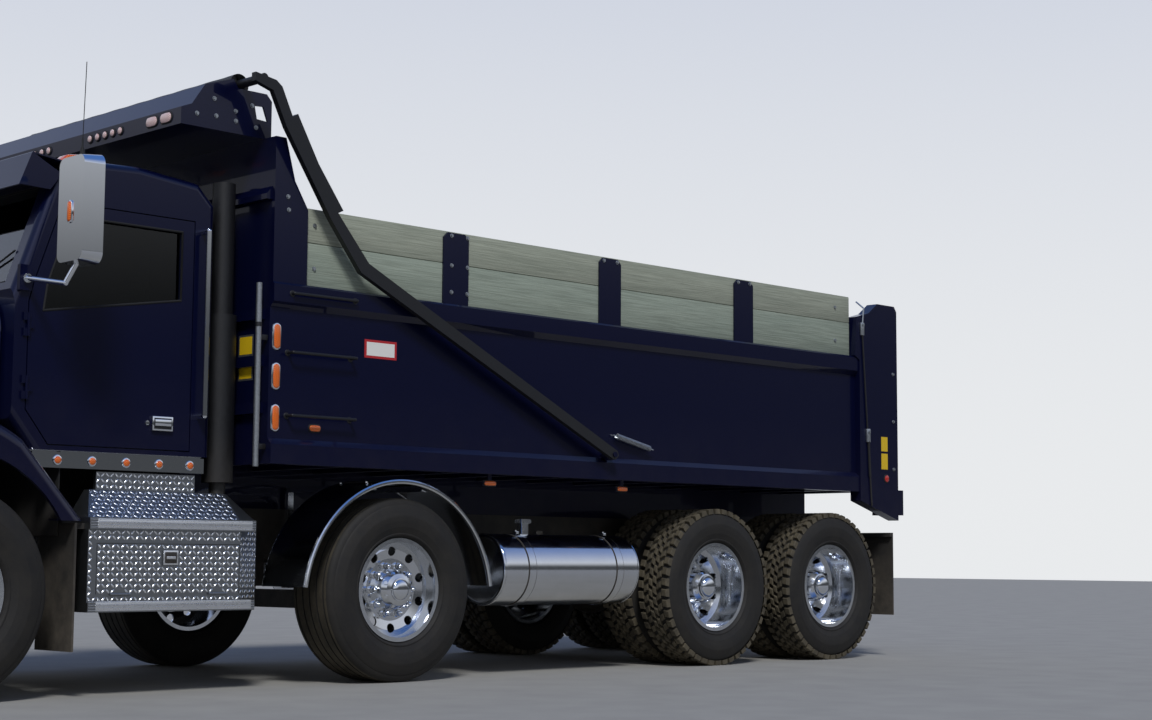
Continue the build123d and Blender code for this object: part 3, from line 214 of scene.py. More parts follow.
# %% [markdown]
# ## Pattern sizes
# A noise or cell texture has as many grains to the metre as its scale says,
# because the truck is drawn in metres. A wave texture counts its bands in
# another way: its phase grows by 20 for each metre along an axis, and by ten
# times the root of three along the diagonal. So each pattern below is given
# by the size that its grains have on the real thing, in millimetres.


# %% Pattern scales
def per_metre(size_mm):
    """The scale of a noise or cell texture whose grains are this wide."""
    return 1000.0 / size_mm


def band_scale(spacing_mm, diagonal=False):
    """The scale of a wave texture whose bands lie this far apart."""
    return per_metre(spacing_mm) * math.tau / (10 * math.sqrt(3) if diagonal else 20)


print("grains 4 mm wide need scale", per_metre(4), "and bands 6 mm apart", round(band_scale(6, True), 1))

# %% [markdown]
# ## Dust and fine unevenness
# A working truck is washed often but never clean for long. Road dust gathers
# low down and in patches. One function gives a dust share between 0 and 1
# from the height above the road, broken up by a coarse noise.


# %% Dust share
def dust_share(tree, place, full_z, none_z, most):
    """A share that is most at full_z and below, and 0 at none_z and above, in patches."""
    height = add_node(tree, "SeparateXYZ", {0: place}).outputs["Z"]
    fall = add_node(tree, "MapRange", {"Value": height, "From Min": full_z, "From Max": none_z,
                                       "To Min": most, "To Max": 0.0})
    patch = add_node(tree, "TexNoise", {"Vector": place, "Scale": per_metre(200), "Detail": 7.0,
                                      "Roughness": 0.7})
    patchy = add_node(tree, "MapRange", {"Value": patch.outputs["Fac"], "From Min": 0.35, "From Max": 0.7,
                                         "To Min": 0.35, "To Max": 1.3})
    share = add_node(tree, "Math", {0: fall.outputs[0], 1: patchy.outputs[0]}, operation="MULTIPLY",
                     use_clamp=True)
    return share.outputs[0]


def mixed(tree, share, first, second):
    """Colour first where the share is 0 and second where it is 1; either may be a socket or a hex code."""
    ends = [linear(x) if isinstance(x, str) else x for x in (first, second)]
    return add_node(tree, "Mix", {"Factor": share, 6: ends[0], 7: ends[1]}, data_type="RGBA").outputs[2]


def spread(tree, value, low, high):
    """A value between 0 and 1 spread linearly from low to high."""
    return add_node(tree, "MapRange", {"Value": value, "To Min": low, "To Max": high}).outputs[0]


def bumped(tree, height, depth_m, strength=1.0):
    """A normal from a height between 0 and 1 that stands for depth_m metres."""
    return add_node(tree, "Bump", {"Height": height, "Distance": depth_m, "Strength": strength}).outputs[0]


ROAD_DUST = "#7d7364"
print("road dust:", ROAD_DUST)

# %% [markdown]
# ## Paint
# The cab and body are sprayed with a very dark navy metallic base and a clear
# coat. The flakes are far finer than a pixel, so they are drawn about 4 mm
# wide, and only as a faint change of tone. The clear coat gives the sharp
# reflection; the base under it stays soft. Orange peel is a very shallow bump.


# %% Paint finishes
def navy_metallic_paint():
    # Sprayed two coat metallic enamel: nearly black in shade, blue where light grazes it
    material, tree, shader, place = new_finish("navy_metallic_paint")
    flake = add_node(tree, "TexNoise", {"Vector": place, "Scale": per_metre(4), "Detail": 2.0})
    base = mixed(tree, flake.outputs["Fac"], "#04061c", "#0a1038")
    dust = dust_share(tree, place, 0.4, 1.7, 0.07)
    peel = add_node(tree, "TexNoise", {"Vector": place, "Scale": per_metre(11), "Detail": 1.0})
    set_shader(tree, shader, Base_Color=mixed(tree, dust, base, ROAD_DUST), Metallic=0.2,
               Roughness=spread(tree, dust, 0.3, 0.8), Specular_IOR_Level=0.12, Coat_Weight=0.6,
               Coat_Roughness=0.03, Normal=bumped(tree, peel.outputs["Fac"], 0.0002, 0.4))
    return material


def chassis_black_paint():
    # Brushed on chassis enamel over rolled steel: satin black, dulled by road dust
    material, tree, shader, place = new_finish("chassis_black_paint")
    dust = dust_share(tree, place, 0.3, 1.4, 0.35)
    grain = add_node(tree, "TexNoise", {"Vector": place, "Scale": per_metre(17), "Detail": 4.0})
    base = mixed(tree, grain.outputs["Fac"], "#0b0b0d", "#17181b")
    set_shader(tree, shader, Base_Color=mixed(tree, dust, base, ROAD_DUST),
               Roughness=spread(tree, grain.outputs["Fac"], 0.38, 0.62),
               Normal=bumped(tree, grain.outputs["Fac"], 0.0006, 0.5))
    return material


navy, black = navy_metallic_paint(), chassis_black_paint()
print("paints:", navy.name, black.name)

# %% [markdown]
# ## Bright metal
# Wheels, tanks and fenders are polished aluminium; the lamp strips, mirrors
# and bumper are chromed steel. Polished aluminium keeps faint buffing marks
# and a little road film low down, chrome is almost a mirror. The step boxes
# are tread plate: its lozenges get a pale metal and the ground between them a
# dark one. That is partly boot polish and grime, and partly painted light: a
# painted highlight on the lozenges and painted shade on the ground. Fasteners
# are zinc plated.


# %% Bright metals
def polished_aluminium():
    # Forged or rolled aluminium buffed to a mirror, with faint buffing haze and road film
    material, tree, shader, place = new_finish("polished_aluminium")
    haze = add_node(tree, "TexNoise", {"Vector": place, "Scale": per_metre(45), "Detail": 8.0,
                                     "Roughness": 0.65})
    dust = dust_share(tree, place, 0.2, 1.2, 0.16)
    set_shader(tree, shader, Base_Color=mixed(tree, dust, "#dfe2e6", "#8d8474"), Metallic=1.0,
               Roughness=spread(tree, haze.outputs["Fac"], 0.05, 0.2),
               Normal=bumped(tree, haze.outputs["Fac"], 0.0004, 0.25))
    return material


def tread_plate_aluminium(name, metal, smoothest, roughest):
    # Rolled tread plate in its mill finish; its metal tone is boot polish and grime,
    # and also painted highlight on the lozenges and painted shade on the ground
    material, tree, shader, place = new_finish(name)
    haze = add_node(tree, "TexNoise", {"Vector": place, "Scale": per_metre(25), "Detail": 6.0})
    dust = dust_share(tree, place, 0.2, 1.0, 0.12)
    set_shader(tree, shader, Base_Color=mixed(tree, dust, metal, "#8d8474"), Metallic=1.0,
               Roughness=spread(tree, haze.outputs["Fac"], smoothest, roughest))
    return material


def chromed_steel():
    # Electroplated chrome over steel: a cool mirror with hardly any haze
    material, tree, shader, place = new_finish("chromed_steel")
    haze = add_node(tree, "TexNoise", {"Vector": place, "Scale": per_metre(33), "Detail": 5.0})
    set_shader(tree, shader, Base_Color=linear("#e3e6ea"), Metallic=1.0,
               Roughness=spread(tree, haze.outputs["Fac"], 0.02, 0.09))
    return material


def zinc_plated_steel():
    # Galvanised or zinc plated fasteners and rods: pale, dull grey metal
    material, tree, shader, place = new_finish("zinc_plated_steel")
    spangle = add_node(tree, "TexNoise", {"Vector": place, "Scale": per_metre(12.5), "Detail": 3.0})
    set_shader(tree, shader, Base_Color=mixed(tree, spangle.outputs["Fac"], "#8f9498", "#c4c8cb"),
               Metallic=0.9, Roughness=0.34)
    return material


aluminium, chrome, zinc = polished_aluminium(), chromed_steel(), zinc_plated_steel()
# Ground: darker metal, partly grime and partly painted shade. Lozenges: pale metal, partly boot polish and
# partly painted highlight.
tread_plate = tread_plate_aluminium("tread_plate_ground_grime_and_painted_shade", "#8f9295", 0.30, 0.46)
lozenge_metal = tread_plate_aluminium("tread_plate_lozenges_polish_and_painted_highlight", "#f4f5f6", 0.22, 0.34)
print("metals:", aluminium.name, chrome.name, zinc.name, tread_plate.name, lozenge_metal.name)

# %% [markdown]
# ## Rubber
# Tyre rubber is a carbon black compound, matt and slightly brown with dust
# where it meets the road. Mud flaps are the same rubber in a flat sheet with a
# fine moulded grain.


# %% Rubber finishes
def tyre_rubber(name, dust_most):
    # Vulcanised rubber: matt black with a moulded grain, dusted by the road
    material, tree, shader, place = new_finish(name)
    grain = add_node(tree, "TexNoise", {"Vector": place, "Scale": per_metre(4), "Detail": 3.0})
    smear = add_node(tree, "TexNoise", {"Vector": place, "Scale": per_metre(110), "Detail": 6.0,
                                      "Roughness": 0.7})
    dust = add_node(tree, "MapRange", {"Value": smear.outputs["Fac"], "From Min": 0.35, "From Max": 0.7,
                                       "To Min": dust_most * 0.35, "To Max": dust_most})
    base = mixed(tree, grain.outputs["Fac"], "#0d0d0e", "#171719")
    set_shader(tree, shader, Base_Color=mixed(tree, dust.outputs[0], base, "#857a62"), Roughness=0.72,
               Specular_IOR_Level=0.4, Normal=bumped(tree, grain.outputs["Fac"], 0.0008, 0.6))
    return material


def flap_rubber():
    # Calendered rubber sheet with fibre in it: dull, stiff and dusty
    material, tree, shader, place = new_finish("flap_rubber")
    grain = add_node(tree, "TexNoise", {"Vector": place, "Scale": per_metre(8), "Detail": 4.0})
    dust = dust_share(tree, place, 0.3, 1.1, 0.4)
    set_shader(tree, shader, Base_Color=mixed(tree, dust, "#141415", ROAD_DUST), Roughness=0.8,
               Normal=bumped(tree, grain.outputs["Fac"], 0.001, 0.5))
    return material


side_rubber = tyre_rubber("tyre_rubber_sidewall", 0.06)
rib_rubber = tyre_rubber("tyre_rubber_rib", 0.3)
tread_rubber = tyre_rubber("tyre_rubber_tread", 0.5)
sheet_rubber = flap_rubber()
print("rubbers:", side_rubber.name, rib_rubber.name, tread_rubber.name, sheet_rubber.name)

# %% [markdown]
# ## Glass and lenses
# Window glass is laminated with a dark tint. Lamp lenses are moulded acrylic:
# amber for markers, clear for headlamps, with fine ribs that scatter light.
# The markers let little light through, so they show their own colour. Signs
# and labels are coloured film, and are left blank.


# %% Glass and lens finishes
def tinted_glass():
    # Laminated tinted window glass: smooth, grey green and dark from outside
    material, tree, shader, place = new_finish("tinted_glass")
    set_shader(tree, shader, Base_Color=linear("#4b5658"), Transmission_Weight=1.0, IOR=1.5,
               Roughness=0.01, Coat_Weight=0.6, Coat_Roughness=0.01)
    return material


def lens_acrylic(name, deep, pale, clear_share):
    # Injection moulded acrylic lens with ribs about 6 mm apart
    material, tree, shader, place = new_finish(name)
    ribs = add_node(tree, "TexWave", {"Vector": place, "Scale": band_scale(6, True), "Distortion": 0.0},
                    bands_direction="DIAGONAL")
    set_shader(tree, shader, Base_Color=mixed(tree, ribs.outputs["Fac"], deep, pale),
               Roughness=0.12, Transmission_Weight=clear_share, IOR=1.49, Coat_Weight=1.0,
               Coat_Roughness=0.03, Normal=bumped(tree, ribs.outputs["Fac"], 0.001, 0.5))
    return material


def sign_film(name, colour):
    # Retroreflective vinyl film glued to the paint: even colour, slight gloss
    material, tree, shader, place = new_finish(name)
    set_shader(tree, shader, Base_Color=linear(colour), Roughness=0.4)
    return material


glass = tinted_glass()
amber = lens_acrylic("amber_lens_acrylic", "#d8400a", "#ff8c1e", 0.15)
clear = lens_acrylic("clear_lens_acrylic", "#e6eaee", "#ffffff", 0.96)
red = lens_acrylic("red_lens_acrylic", "#9c0c08", "#d8291c", 0.1)
rose = lens_acrylic("faded_rose_lens_acrylic", "#d8a9a4", "#f3dcd9", 0.1)
sign_white = sign_film("sign_film_white", "#e6e5e0")
sign_red = sign_film("sign_film_red", "#b4232a")
sign_yellow = sign_film("sign_film_yellow", "#d9b51a")
print("lenses:", amber.name, clear.name, red.name, rose.name)

# %% [markdown]
# ## Wood, vinyl and cloth
# The sideboards are sawn planks, weathered to a grey green, with the grain
# running along the truck. Noise is stretched along X for the fibres, and a
# slower noise bleaches and darkens them in long streaks. Seats are grey vinyl.
# The tarp is a woven mesh of coated black yarn.


# %% Wood, vinyl and cloth finishes
def weathered_board(name, shift, bleached_low, bleached_high):
    # Rough sawn softwood left outdoors: silvered, with green grey streaks along the grain
    material, tree, shader, place = new_finish(name)
    # fibres 7 mm high and 330 mm long, and bleached streaks 75 mm high and 900 mm long
    along = add_node(tree, "Mapping", {"Vector": place, "Location": (shift, 0.0, 0.0),
                                       "Scale": (per_metre(330), per_metre(15), per_metre(7))})
    fibre = add_node(tree, "TexNoise", {"Vector": along.outputs[0], "Scale": 1.0, "Detail": 9.0,
                                        "Roughness": 0.65, "Distortion": 0.3})
    slow = add_node(tree, "Mapping", {"Vector": place, "Location": (shift, 0.0, 0.0),
                                      "Scale": (per_metre(900), per_metre(450), per_metre(75))})
    streak = add_node(tree, "TexNoise", {"Vector": slow.outputs[0], "Scale": 1.0, "Detail": 4.0})
    bleached = mixed(tree, streak.outputs["Fac"], bleached_low, bleached_high)
    contrast = add_node(tree, "MapRange", {"Value": fibre.outputs["Fac"], "From Min": 0.38,
                                           "From Max": 0.68, "To Min": 0.0, "To Max": 0.5})
    set_shader(tree, shader, Base_Color=mixed(tree, contrast.outputs[0], bleached, "#4d5146"),
               Roughness=0.82, Normal=bumped(tree, fibre.outputs["Fac"], 0.003, 0.8))
    return material


def cab_vinyl():
    # Embossed vinyl over foam and moulded plastic: charcoal, low sheen, 3 mm grain
    material, tree, shader, place = new_finish("cab_vinyl")
    grain = add_node(tree, "TexVoronoi", {"Vector": place, "Scale": per_metre(3.3)})
    set_shader(tree, shader, Base_Color=mixed(tree, grain.outputs["Distance"], "#1d1e21", "#34363b"),
               Roughness=0.55, Normal=bumped(tree, grain.outputs["Distance"], 0.0006, 0.5))
    return material


def tarp_mesh_cloth():
    # Coated polyester mesh, woven about 3 mm apart; drawn at 8 to 9 mm so that it shows
    material, tree, shader, place = new_finish("tarp_mesh_cloth")
    weft = add_node(tree, "TexWave", {"Vector": place, "Scale": band_scale(8), "Distortion": 0.0},
                    bands_direction="Y")
    warp = add_node(tree, "TexWave", {"Vector": place, "Scale": band_scale(9, True), "Distortion": 0.0},
                    bands_direction="DIAGONAL")
    weave = add_node(tree, "Math", {0: weft.outputs["Fac"], 1: warp.outputs["Fac"]},
                     operation="MULTIPLY").outputs[0]
    set_shader(tree, shader, Base_Color=mixed(tree, weave, "#0d0e10", "#2b2d31"), Roughness=0.75,
               Sheen_Weight=0.2, Normal=bumped(tree, weave, 0.0012, 0.7))
    return material


board = weathered_board("weathered_board", 0.0, "#849083", "#a9b2a2")
upper_board = weathered_board("weathered_board_upper", 7.3, "#8a9182", "#b2b6a4")
vinyl, mesh_cloth = cab_vinyl(), tarp_mesh_cloth()
print("wood and cloth:", board.name, upper_board.name, vinyl.name, mesh_cloth.name)

# %% [markdown]
# ## Finishes for the CAD nodes
# Each node that stays visible gets the finish of the real part, but the
# exhaust: its stacks are chromed, and get the chassis black as painted shade
# and painted dark reflection. The table goes from the finish to the nodes
# that carry it. Nodes that are not in it, such as tyres and lamps, are drawn
# again below with more detail.

# %% Give every CAD node its finish
SIDES = (("left", 1), ("right", -1))
ENDS = [f"{axle}_{{}}_{name}" for axle in ("front", "lift") for name, side in SIDES]
DRIVEN_ENDS = [f"{axle}_{{}}_{name}" for axle in ("drive_a", "drive_b") for name, side in SIDES]
FINISHES = (
    (navy, ["hood", "cab_shell", "dump_body", "cab_guard", "tailgate", "sun_visor", "door_left",
            "door_right"]),
    # exhaust: chromed stacks in chassis black, as painted shade and painted dark reflection
    (black, ["frame", "engine", "exhaust", "radiator", "front_axle", "lift_axle", "drive_axles",
             "hoist_barrel", "tarp_arms"] + [end.format("swivel") for end in ENDS]),
    (aluminium, [end.format("rim") for end in ENDS] + [end.format("rims") for end in DRIVEN_ENDS]
     + ["tanks", "lift_fenders"]),
    # the tread plate's ground metal is darkened, partly as painted shade
    (tread_plate, ["step_boxes", "box_door_left", "box_door_right"]),
    (chrome, ["bumper", "grille", "mirrors", "cab_trim", "hoist_rod"]),
    (sheet_rubber, ["mud_flaps"]),
    (glass, ["cab_glass", "door_glass_left", "door_glass_right"]),
)
for finish, names in FINISHES:
    for name in names:
        nodes[name].data.materials.clear()
        nodes[name].data.materials.append(finish)
finished = {name for finish, names in FINISHES for name in names}
print("nodes drawn again below:", sorted(set(nodes) - finished))

# %% [markdown]
# ## Boxes and drawn outlines
# Every new piece is drawn in a bmesh, Blender's editable mesh. Most parts of a
# truck are boxes with rounded edges, outlines drawn out to a length, shapes
# turned on a lathe, and round bars. Each has one small function, made from
# bmesh operators, that adds its shape to the piece in hand. They could be
# objects of their own, but a piece with many parts is easier to move as one.


# %% Boxes and drawn outlines
def join_in(mesh, part, paint=0):
    """Add a finished bmesh to another and free it; paint is a finish's number, or gives one for a face."""
    for face in part.faces:
        face.material_index = paint(face) if callable(paint) else paint
    data = bpy.data.meshes.new("part")
    part.to_mesh(data)
    part.free()
    mesh.from_mesh(data)
    bpy.data.meshes.remove(data)


def round_edges(part, radius):
    """Round all edges of a bmesh in two steps."""
    bmesh.ops.bevel(part, geom=part.edges, offset=radius, offset_type="OFFSET", affect="EDGES",
                    segments=2, profile=0.5, material=-1, clamp_overlap=True)


def add_box(mesh, corner, other, rounding=0.0, paint=0):
    """A box between two opposite corners, in any order; rounding is the radius of its edges."""
    part = bmesh.new()
    low, high = (Vector(map(pick, corner, other)) for pick in (min, max))
    bmesh.ops.create_cube(part, size=1.0)
    bmesh.ops.scale(part, verts=part.verts, vec=high - low)
    if rounding:
        round_edges(part, rounding)
    bmesh.ops.translate(part, verts=part.verts, vec=(low + high) / 2)
    join_in(mesh, part, paint)


def add_drawn(mesh, outline, run, rounding=0.0, paint=0):
    """An outline of points drawn out along a run, with rounded edges."""
    part = bmesh.new()
    face = part.faces.new([part.verts.new(point) for point in outline])
    drawn = bmesh.ops.extrude_face_region(part, geom=[face])
    far = [item for item in drawn["geom"] if isinstance(item, bmesh.types.BMVert)]
    bmesh.ops.translate(part, verts=far, vec=run)
    bmesh.ops.recalc_face_normals(part, faces=part.faces)
    if rounding:
        round_edges(part, rounding)
    join_in(mesh, part, paint)


UP, AHEAD, BACK, ACROSS = (0, 0, 1), (1, 0, 0), (-1, 0, 0), (0, 1, 0)
print("directions: up", UP, "ahead", AHEAD, "back", BACK, "across", ACROSS)

# %% [markdown]
# ## Turned shapes and bars
# Rims, lamps, caps and rings are turned: a profile of points at distances
# along and from an axis is spun round it. Handles, rods and seals are round
# bar, bent at the corners, where a ball fills the gap between two runs. A
# curve with a round bevel would bend more smoothly, but it needs far more
# faces for a bend that is only a few millimetres across.


# %% Turned shapes and bars
def add_turned(mesh, profile, centre, axis, steps=24, paint=0, angle=math.tau, start=None):
    """Spin (along the axis, radius) points round an axis through centre, from the direction start."""
    part = bmesh.new()
    axis = Vector(axis).normalized()
    out = Vector(start) if start else axis.orthogonal().normalized()
    line = [part.verts.new(axis * along + out * radius) for along, radius in profile]
    edges = [part.edges.new(pair) for pair in zip(line, line[1:])]
    bmesh.ops.spin(part, geom=line + edges, cent=(0, 0, 0), axis=axis, dvec=(0, 0, 0), angle=angle,
                   steps=steps, use_merge=abs(angle - math.tau) < 1e-6, use_duplicate=False)
    bmesh.ops.remove_doubles(part, verts=part.verts, dist=1e-5)
    bmesh.ops.recalc_face_normals(part, faces=part.faces)
    bmesh.ops.translate(part, verts=part.verts, vec=centre)
    join_in(mesh, part, paint)


def add_bar(mesh, path, radius, steps=10, paint=0):
    """Round bars along a chain of points, with a ball at each point where two runs meet."""
    points = [Vector(point) for point in path]
    part = bmesh.new()
    for near, far in zip(points, points[1:]):
        run = far - near
        turn = run.to_track_quat("Z", "Y").to_matrix().to_4x4()
        bmesh.ops.create_cone(part, cap_ends=True, segments=steps, radius1=radius, radius2=radius,
                              depth=run.length, matrix=Matrix.Translation((near + far) / 2) @ turn)
    for point in points[1:-1]:
        bmesh.ops.create_uvsphere(part, u_segments=steps, v_segments=6, radius=radius,
                                  matrix=Matrix.Translation(point))
    join_in(mesh, part, paint)


def ring_profile(radius, wire, sides=10):
    """A small circle as a closed profile for add_turned, for a ring of that radius."""
    return [(wire * math.sin(math.tau * i / sides), radius + wire * math.cos(math.tau * i / sides))
            for i in range(sides + 1)]


print("a ring's profile has", len(ring_profile(1.0, 0.1)), "points")

# %% [markdown]
# ## Stamps
# What comes many times, such as a bolt or a tread block, is drawn once as a
# mesh and stamped into the piece wherever it is needed, turned to its plate.
# Instances would be lighter, but a stamped copy is part of the mesh and so
# stays with it in an export.


# %% Templates and stamps
def template(draw, paint=0):
    """A shape that is drawn once, kept as a mesh for stamping."""
    part = bmesh.new()
    draw(part)
    for face in part.faces:
        face.material_index = paint
    data = bpy.data.meshes.new("template_" + draw.__name__)
    part.to_mesh(data)
    part.free()
    return data


def stamp(mesh, data, place, turn=None):
    """Add a template at a place, turned by a matrix; templates point along Z."""
    copy = data.copy()
    copy.transform(Matrix.Translation(place) @ (turn.to_4x4() if turn else Matrix()))
    mesh.from_mesh(copy)
    bpy.data.meshes.remove(copy)


def towards(direction):
    """The turn that points a template's Z axis in a direction."""
    return Vector(direction).to_track_quat("Z", "Y").to_matrix()


def hex_bolt(mesh):
    """A hexagon head 18 mm across on a washer."""
    add_turned(mesh, ((0.0, 0.0), (0.0, 0.013), (0.002, 0.013), (0.002, 0.0)), (0, 0, 0), UP, 12)
    bmesh.ops.create_cone(mesh, cap_ends=True, segments=6, radius1=0.0104, radius2=0.0096, depth=0.008,
                          matrix=Matrix.Translation((0, 0, 0.006)))


bolt = template(hex_bolt)
print("bolt template:", len(bolt.polygons), "faces")

# %% [markdown]
# ## From a mesh to a piece
# A piece is an object at the origin, with its place in its mesh, as the CAD
# nodes have it, so that one pose moves both alike. Edges that turn by more
# than 35 degrees stay crisp, the rest is shaded smooth. The piece rides on the
# body that carries it, and its material slots hold the finishes it is drawn in.

# %% Finish a piece
CRISP = math.radians(35)


def finish_piece(name, mesh, finishes, body):
    """Make a bmesh an object in the given finishes that rides on a CAD body."""
    for face in mesh.faces:
        face.smooth = True
    for edge in mesh.edges:
        edge.smooth = len(edge.link_faces) == 2 and edge.calc_face_angle(0.0) < CRISP
    data = bpy.data.meshes.new(name)
    mesh.to_mesh(data)
    mesh.free()
    for finish in finishes:
        data.materials.append(finish)
    piece = bpy.data.objects.new(name, data)
    bpy.context.scene.collection.objects.link(piece)
    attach(piece, body)
    return piece


print("edges that turn by more than", round(math.degrees(CRISP)), "degrees stay crisp")

# %% [markdown]
# ## Tyres
# The tyres are the truck's roughest surface. A tyre could be one textured
# drum, but its lugs break the outline, so they are real blocks. The carcass is
# one closed profile spun about the wheel's axis: beads, bulging sidewall with
# its moulded rings, and shoulder. The drive tyres carry rows of slanted blocks
# on it, stamped from three templates. The steered tyres have long ribs, which
# are grooves in the spun profile itself.

# %% Tyre carcass
AXLE_Z = 0.530
TYRE_RADIUS = 0.530
SEAT = 0.2843
FLANGE = 0.2995
GROOVE_DEPTH = 0.016
CARCASS_STEPS = 96
RIB_GROOVES = (0.125, 0.062, 0.0)
RIB_GROOVE_HALF = 0.006


def half_profile(half, bead, ribbed):
    """From the bead to the middle of the tread: (outwards, radius) in metres."""
    tread = TYRE_RADIUS if ribbed else TYRE_RADIUS - GROOVE_DEPTH
    side = [(bead, SEAT), (bead, FLANGE), (half - 0.027, 0.311), (half - 0.019, 0.3175),
            (half - 0.018, 0.324), (half - 0.0205, 0.327), (half - 0.0165, 0.338), (half - 0.009, 0.360),
            (half - 0.0078, 0.363), (half - 0.0073, 0.366), (half - 0.0035, 0.390), (half - 0.0014, 0.404),
            (half - 0.0016, 0.408), (half, 0.4195), (half - 0.0008, 0.434), (half - 0.0018, 0.436),
            (half - 0.0038, 0.455), (half - 0.0052, 0.458), (half - 0.0093, 0.479)]
    if not ribbed:
        return side + [(half - 0.022, 0.498), (half - 0.040, tread - 0.002), (half - 0.060, tread)]
    side += [(half - 0.0105, 0.481), (half - 0.0135, 0.490), (half - 0.016, 0.492),
             (half - 0.020, 0.508), (half - 0.031, 0.5205), (half - 0.044, 0.5275), (half - 0.060, tread)]
    for middle in RIB_GROOVES:
        for offset, depth in ((1.0, 0.0), (0.6, 0.9), (-0.6, 0.9), (-1.0, 0.0)):
            across = middle + offset * RIB_GROOVE_HALF
            if across > 0:
                side.append((across, tread - depth * GROOVE_DEPTH))
    return side


def add_carcass(mesh, centre, half, bead, ribbed):
    """A spun carcass; its rib tops get finish 1, all else finish 0."""
    side = half_profile(half, bead, ribbed)
    loop = side + [(-across, radius) for across, radius in reversed(side)]

    def worn_on_top(face):
        spot = face.calc_center_median() - Vector(centre)
        return 1 if math.hypot(spot.x, spot.z) > TYRE_RADIUS - 0.004 else 0

    add_turned(mesh, loop + [loop[0]], centre, ACROSS, CARCASS_STEPS, worn_on_top)


print("half a ribbed profile has", len(half_profile(0.1925, 0.1412, True)), "points")

# %% [markdown]
# ## Tread blocks
# The drive tyre's blocks: a shoulder block that wraps over the edge, and two
# inner rows that slant against each other, like a herring bone. A block is a
# box whose top is a little smaller than its foot, sheared to its slant. The
# road has worn their tops and left them full of pale dust.

# %% Tread blocks
PITCHES = 46
BLOCK_FOOT = TYRE_RADIUS - GROOVE_DEPTH - 0.003


def block_shape(across, along, foot, slant):
    """A template of a tread block, its top facing Z, Y across the tyre."""
    def tread_block(mesh):
        bmesh.ops.create_cube(mesh, size=1.0)
        bmesh.ops.scale(mesh, verts=mesh.verts, vec=(along, across, TYRE_RADIUS - foot))
        bmesh.ops.translate(mesh, verts=mesh.verts, vec=(0, 0, (TYRE_RADIUS + foot) / 2))
        top = [vert for vert in mesh.verts if vert.co.z > TYRE_RADIUS - 0.001]
        bmesh.ops.scale(mesh, verts=top, vec=(0.86, 0.9, 1.0))
        for vert in mesh.verts:
            vert.co.x += slant * vert.co.y
        rim = [edge for edge in mesh.edges if all(vert in top for vert in edge.verts)]
        under = [face for face in mesh.faces if face.normal.z < -0.9]
        bmesh.ops.delete(mesh, geom=under, context="FACES_ONLY")
        bmesh.ops.bevel(mesh, geom=rim, offset=0.0025, offset_type="OFFSET", affect="EDGES", segments=1,
                        profile=0.5, material=-1)
    return template(tread_block, paint=1)


shoulder_block = block_shape(0.046, 0.052, 0.497, 0.12)
middle_block = block_shape(0.037, 0.046, BLOCK_FOOT, -0.55)
centre_block = block_shape(0.030, 0.046, BLOCK_FOOT, 0.55)
# each row: template, distance from the tyre's middle in half widths, share of a pitch it is shifted
BLOCK_ROWS = ((shoulder_block, 0.745, 0.0), (middle_block, 0.405, 0.35), (centre_block, 0.125, 0.8))


def add_blocks(mesh, centre, half):
    """All tread blocks of one drive tyre."""
    for data, share, shift in BLOCK_ROWS:
        for side in (1, -1):
            for step in range(PITCHES):
                angle = (step + shift + (0.25 if side < 0 else 0.0)) * math.tau / PITCHES
                turn = Matrix.Rotation(angle, 4, "Y")
                if side < 0:
                    turn = turn @ Matrix.Rotation(math.pi, 4, "Z")
                place = Vector(centre) + turn @ Vector((0, share * half, 0))
                stamp(mesh, data, place, turn)


print("blocks on a drive tyre:", 2 * PITCHES * len(BLOCK_ROWS))

# %% [markdown]
# ## The twelve tyres
# The steered axle and the lift axle carry one wide tyre at each end, the two
# driven axles a pair. A pair turns as one, so its two tyres are one piece.
# Each piece stands for the plain CAD tyre, which is then hidden.

# %% Make the tyres
STEER_X = 3.225
LIFT_X = 0.445
DRIVE_A_X = -2.375
DRIVE_B_X = -3.645
STEERED = (("front", STEER_X, 1.040), ("lift", LIFT_X, 1.070))
DRIVEN = (("drive_a", DRIVE_A_X), ("drive_b", DRIVE_B_X))
TWIN_YS = (1.095, 0.750)
SINGLE_HALF = 0.1925
TWIN_HALF = 0.140
SINGLE_BEAD = 0.1412
TWIN_BEAD = 0.0907

for name, side in SIDES:
    for axle, x, track in STEERED:
        mesh = bmesh.new()
        add_carcass(mesh, (x, side * track, AXLE_Z), SINGLE_HALF, SINGLE_BEAD, True)
        tyre = finish_piece(f"{axle}_tyre_rubber_{name}", mesh, (side_rubber, rib_rubber),
                            f"{axle}_wheel_{name}")
        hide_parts(f"{axle}_tyre_{name}")
    for axle, x in DRIVEN:
        mesh = bmesh.new()
        for y in TWIN_YS:
            centre = (x, side * y, AXLE_Z)
            add_carcass(mesh, centre, TWIN_HALF, TWIN_BEAD, False)
            add_blocks(mesh, centre, TWIN_HALF)
        tyre = finish_piece(f"{axle}_tyre_rubber_{name}", mesh, (side_rubber, tread_rubber),
                            f"{axle}_wheels_{name}")
        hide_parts(f"{axle}_tyres_{name}")

# %% [markdown]
# ## Wheel nuts and hub caps
# Each wheel is held by ten nuts. On show trucks they wear chromed covers: a
# flange, a hexagon and a domed end. The hubs carry a ring of small bolts and a
# cap. All are turned shapes, which is how the real ones are made.


# %% Nuts and hubs
def nut_cover(mesh):
    """A chromed cover 33 mm across and 50 mm tall, pointing along Z."""
    add_turned(mesh, ((0.0, 0.0235), (0.006, 0.0235), (0.009, 0.0195)), (0, 0, 0), UP, 16)
    bmesh.ops.create_cone(mesh, cap_ends=False, segments=6, radius1=0.0192, radius2=0.018, depth=0.026,
                          matrix=Matrix.Translation((0, 0, 0.019)))
    add_turned(mesh, ((0.031, 0.0178), (0.036, 0.0165), (0.044, 0.013), (0.049, 0.007), (0.0505, 0.0)),
               (0, 0, 0), UP, 12)


cover = template(nut_cover)
NUT_COUNT = 10
NUT_RING = 0.1428
SMALL_BOLTS = 8
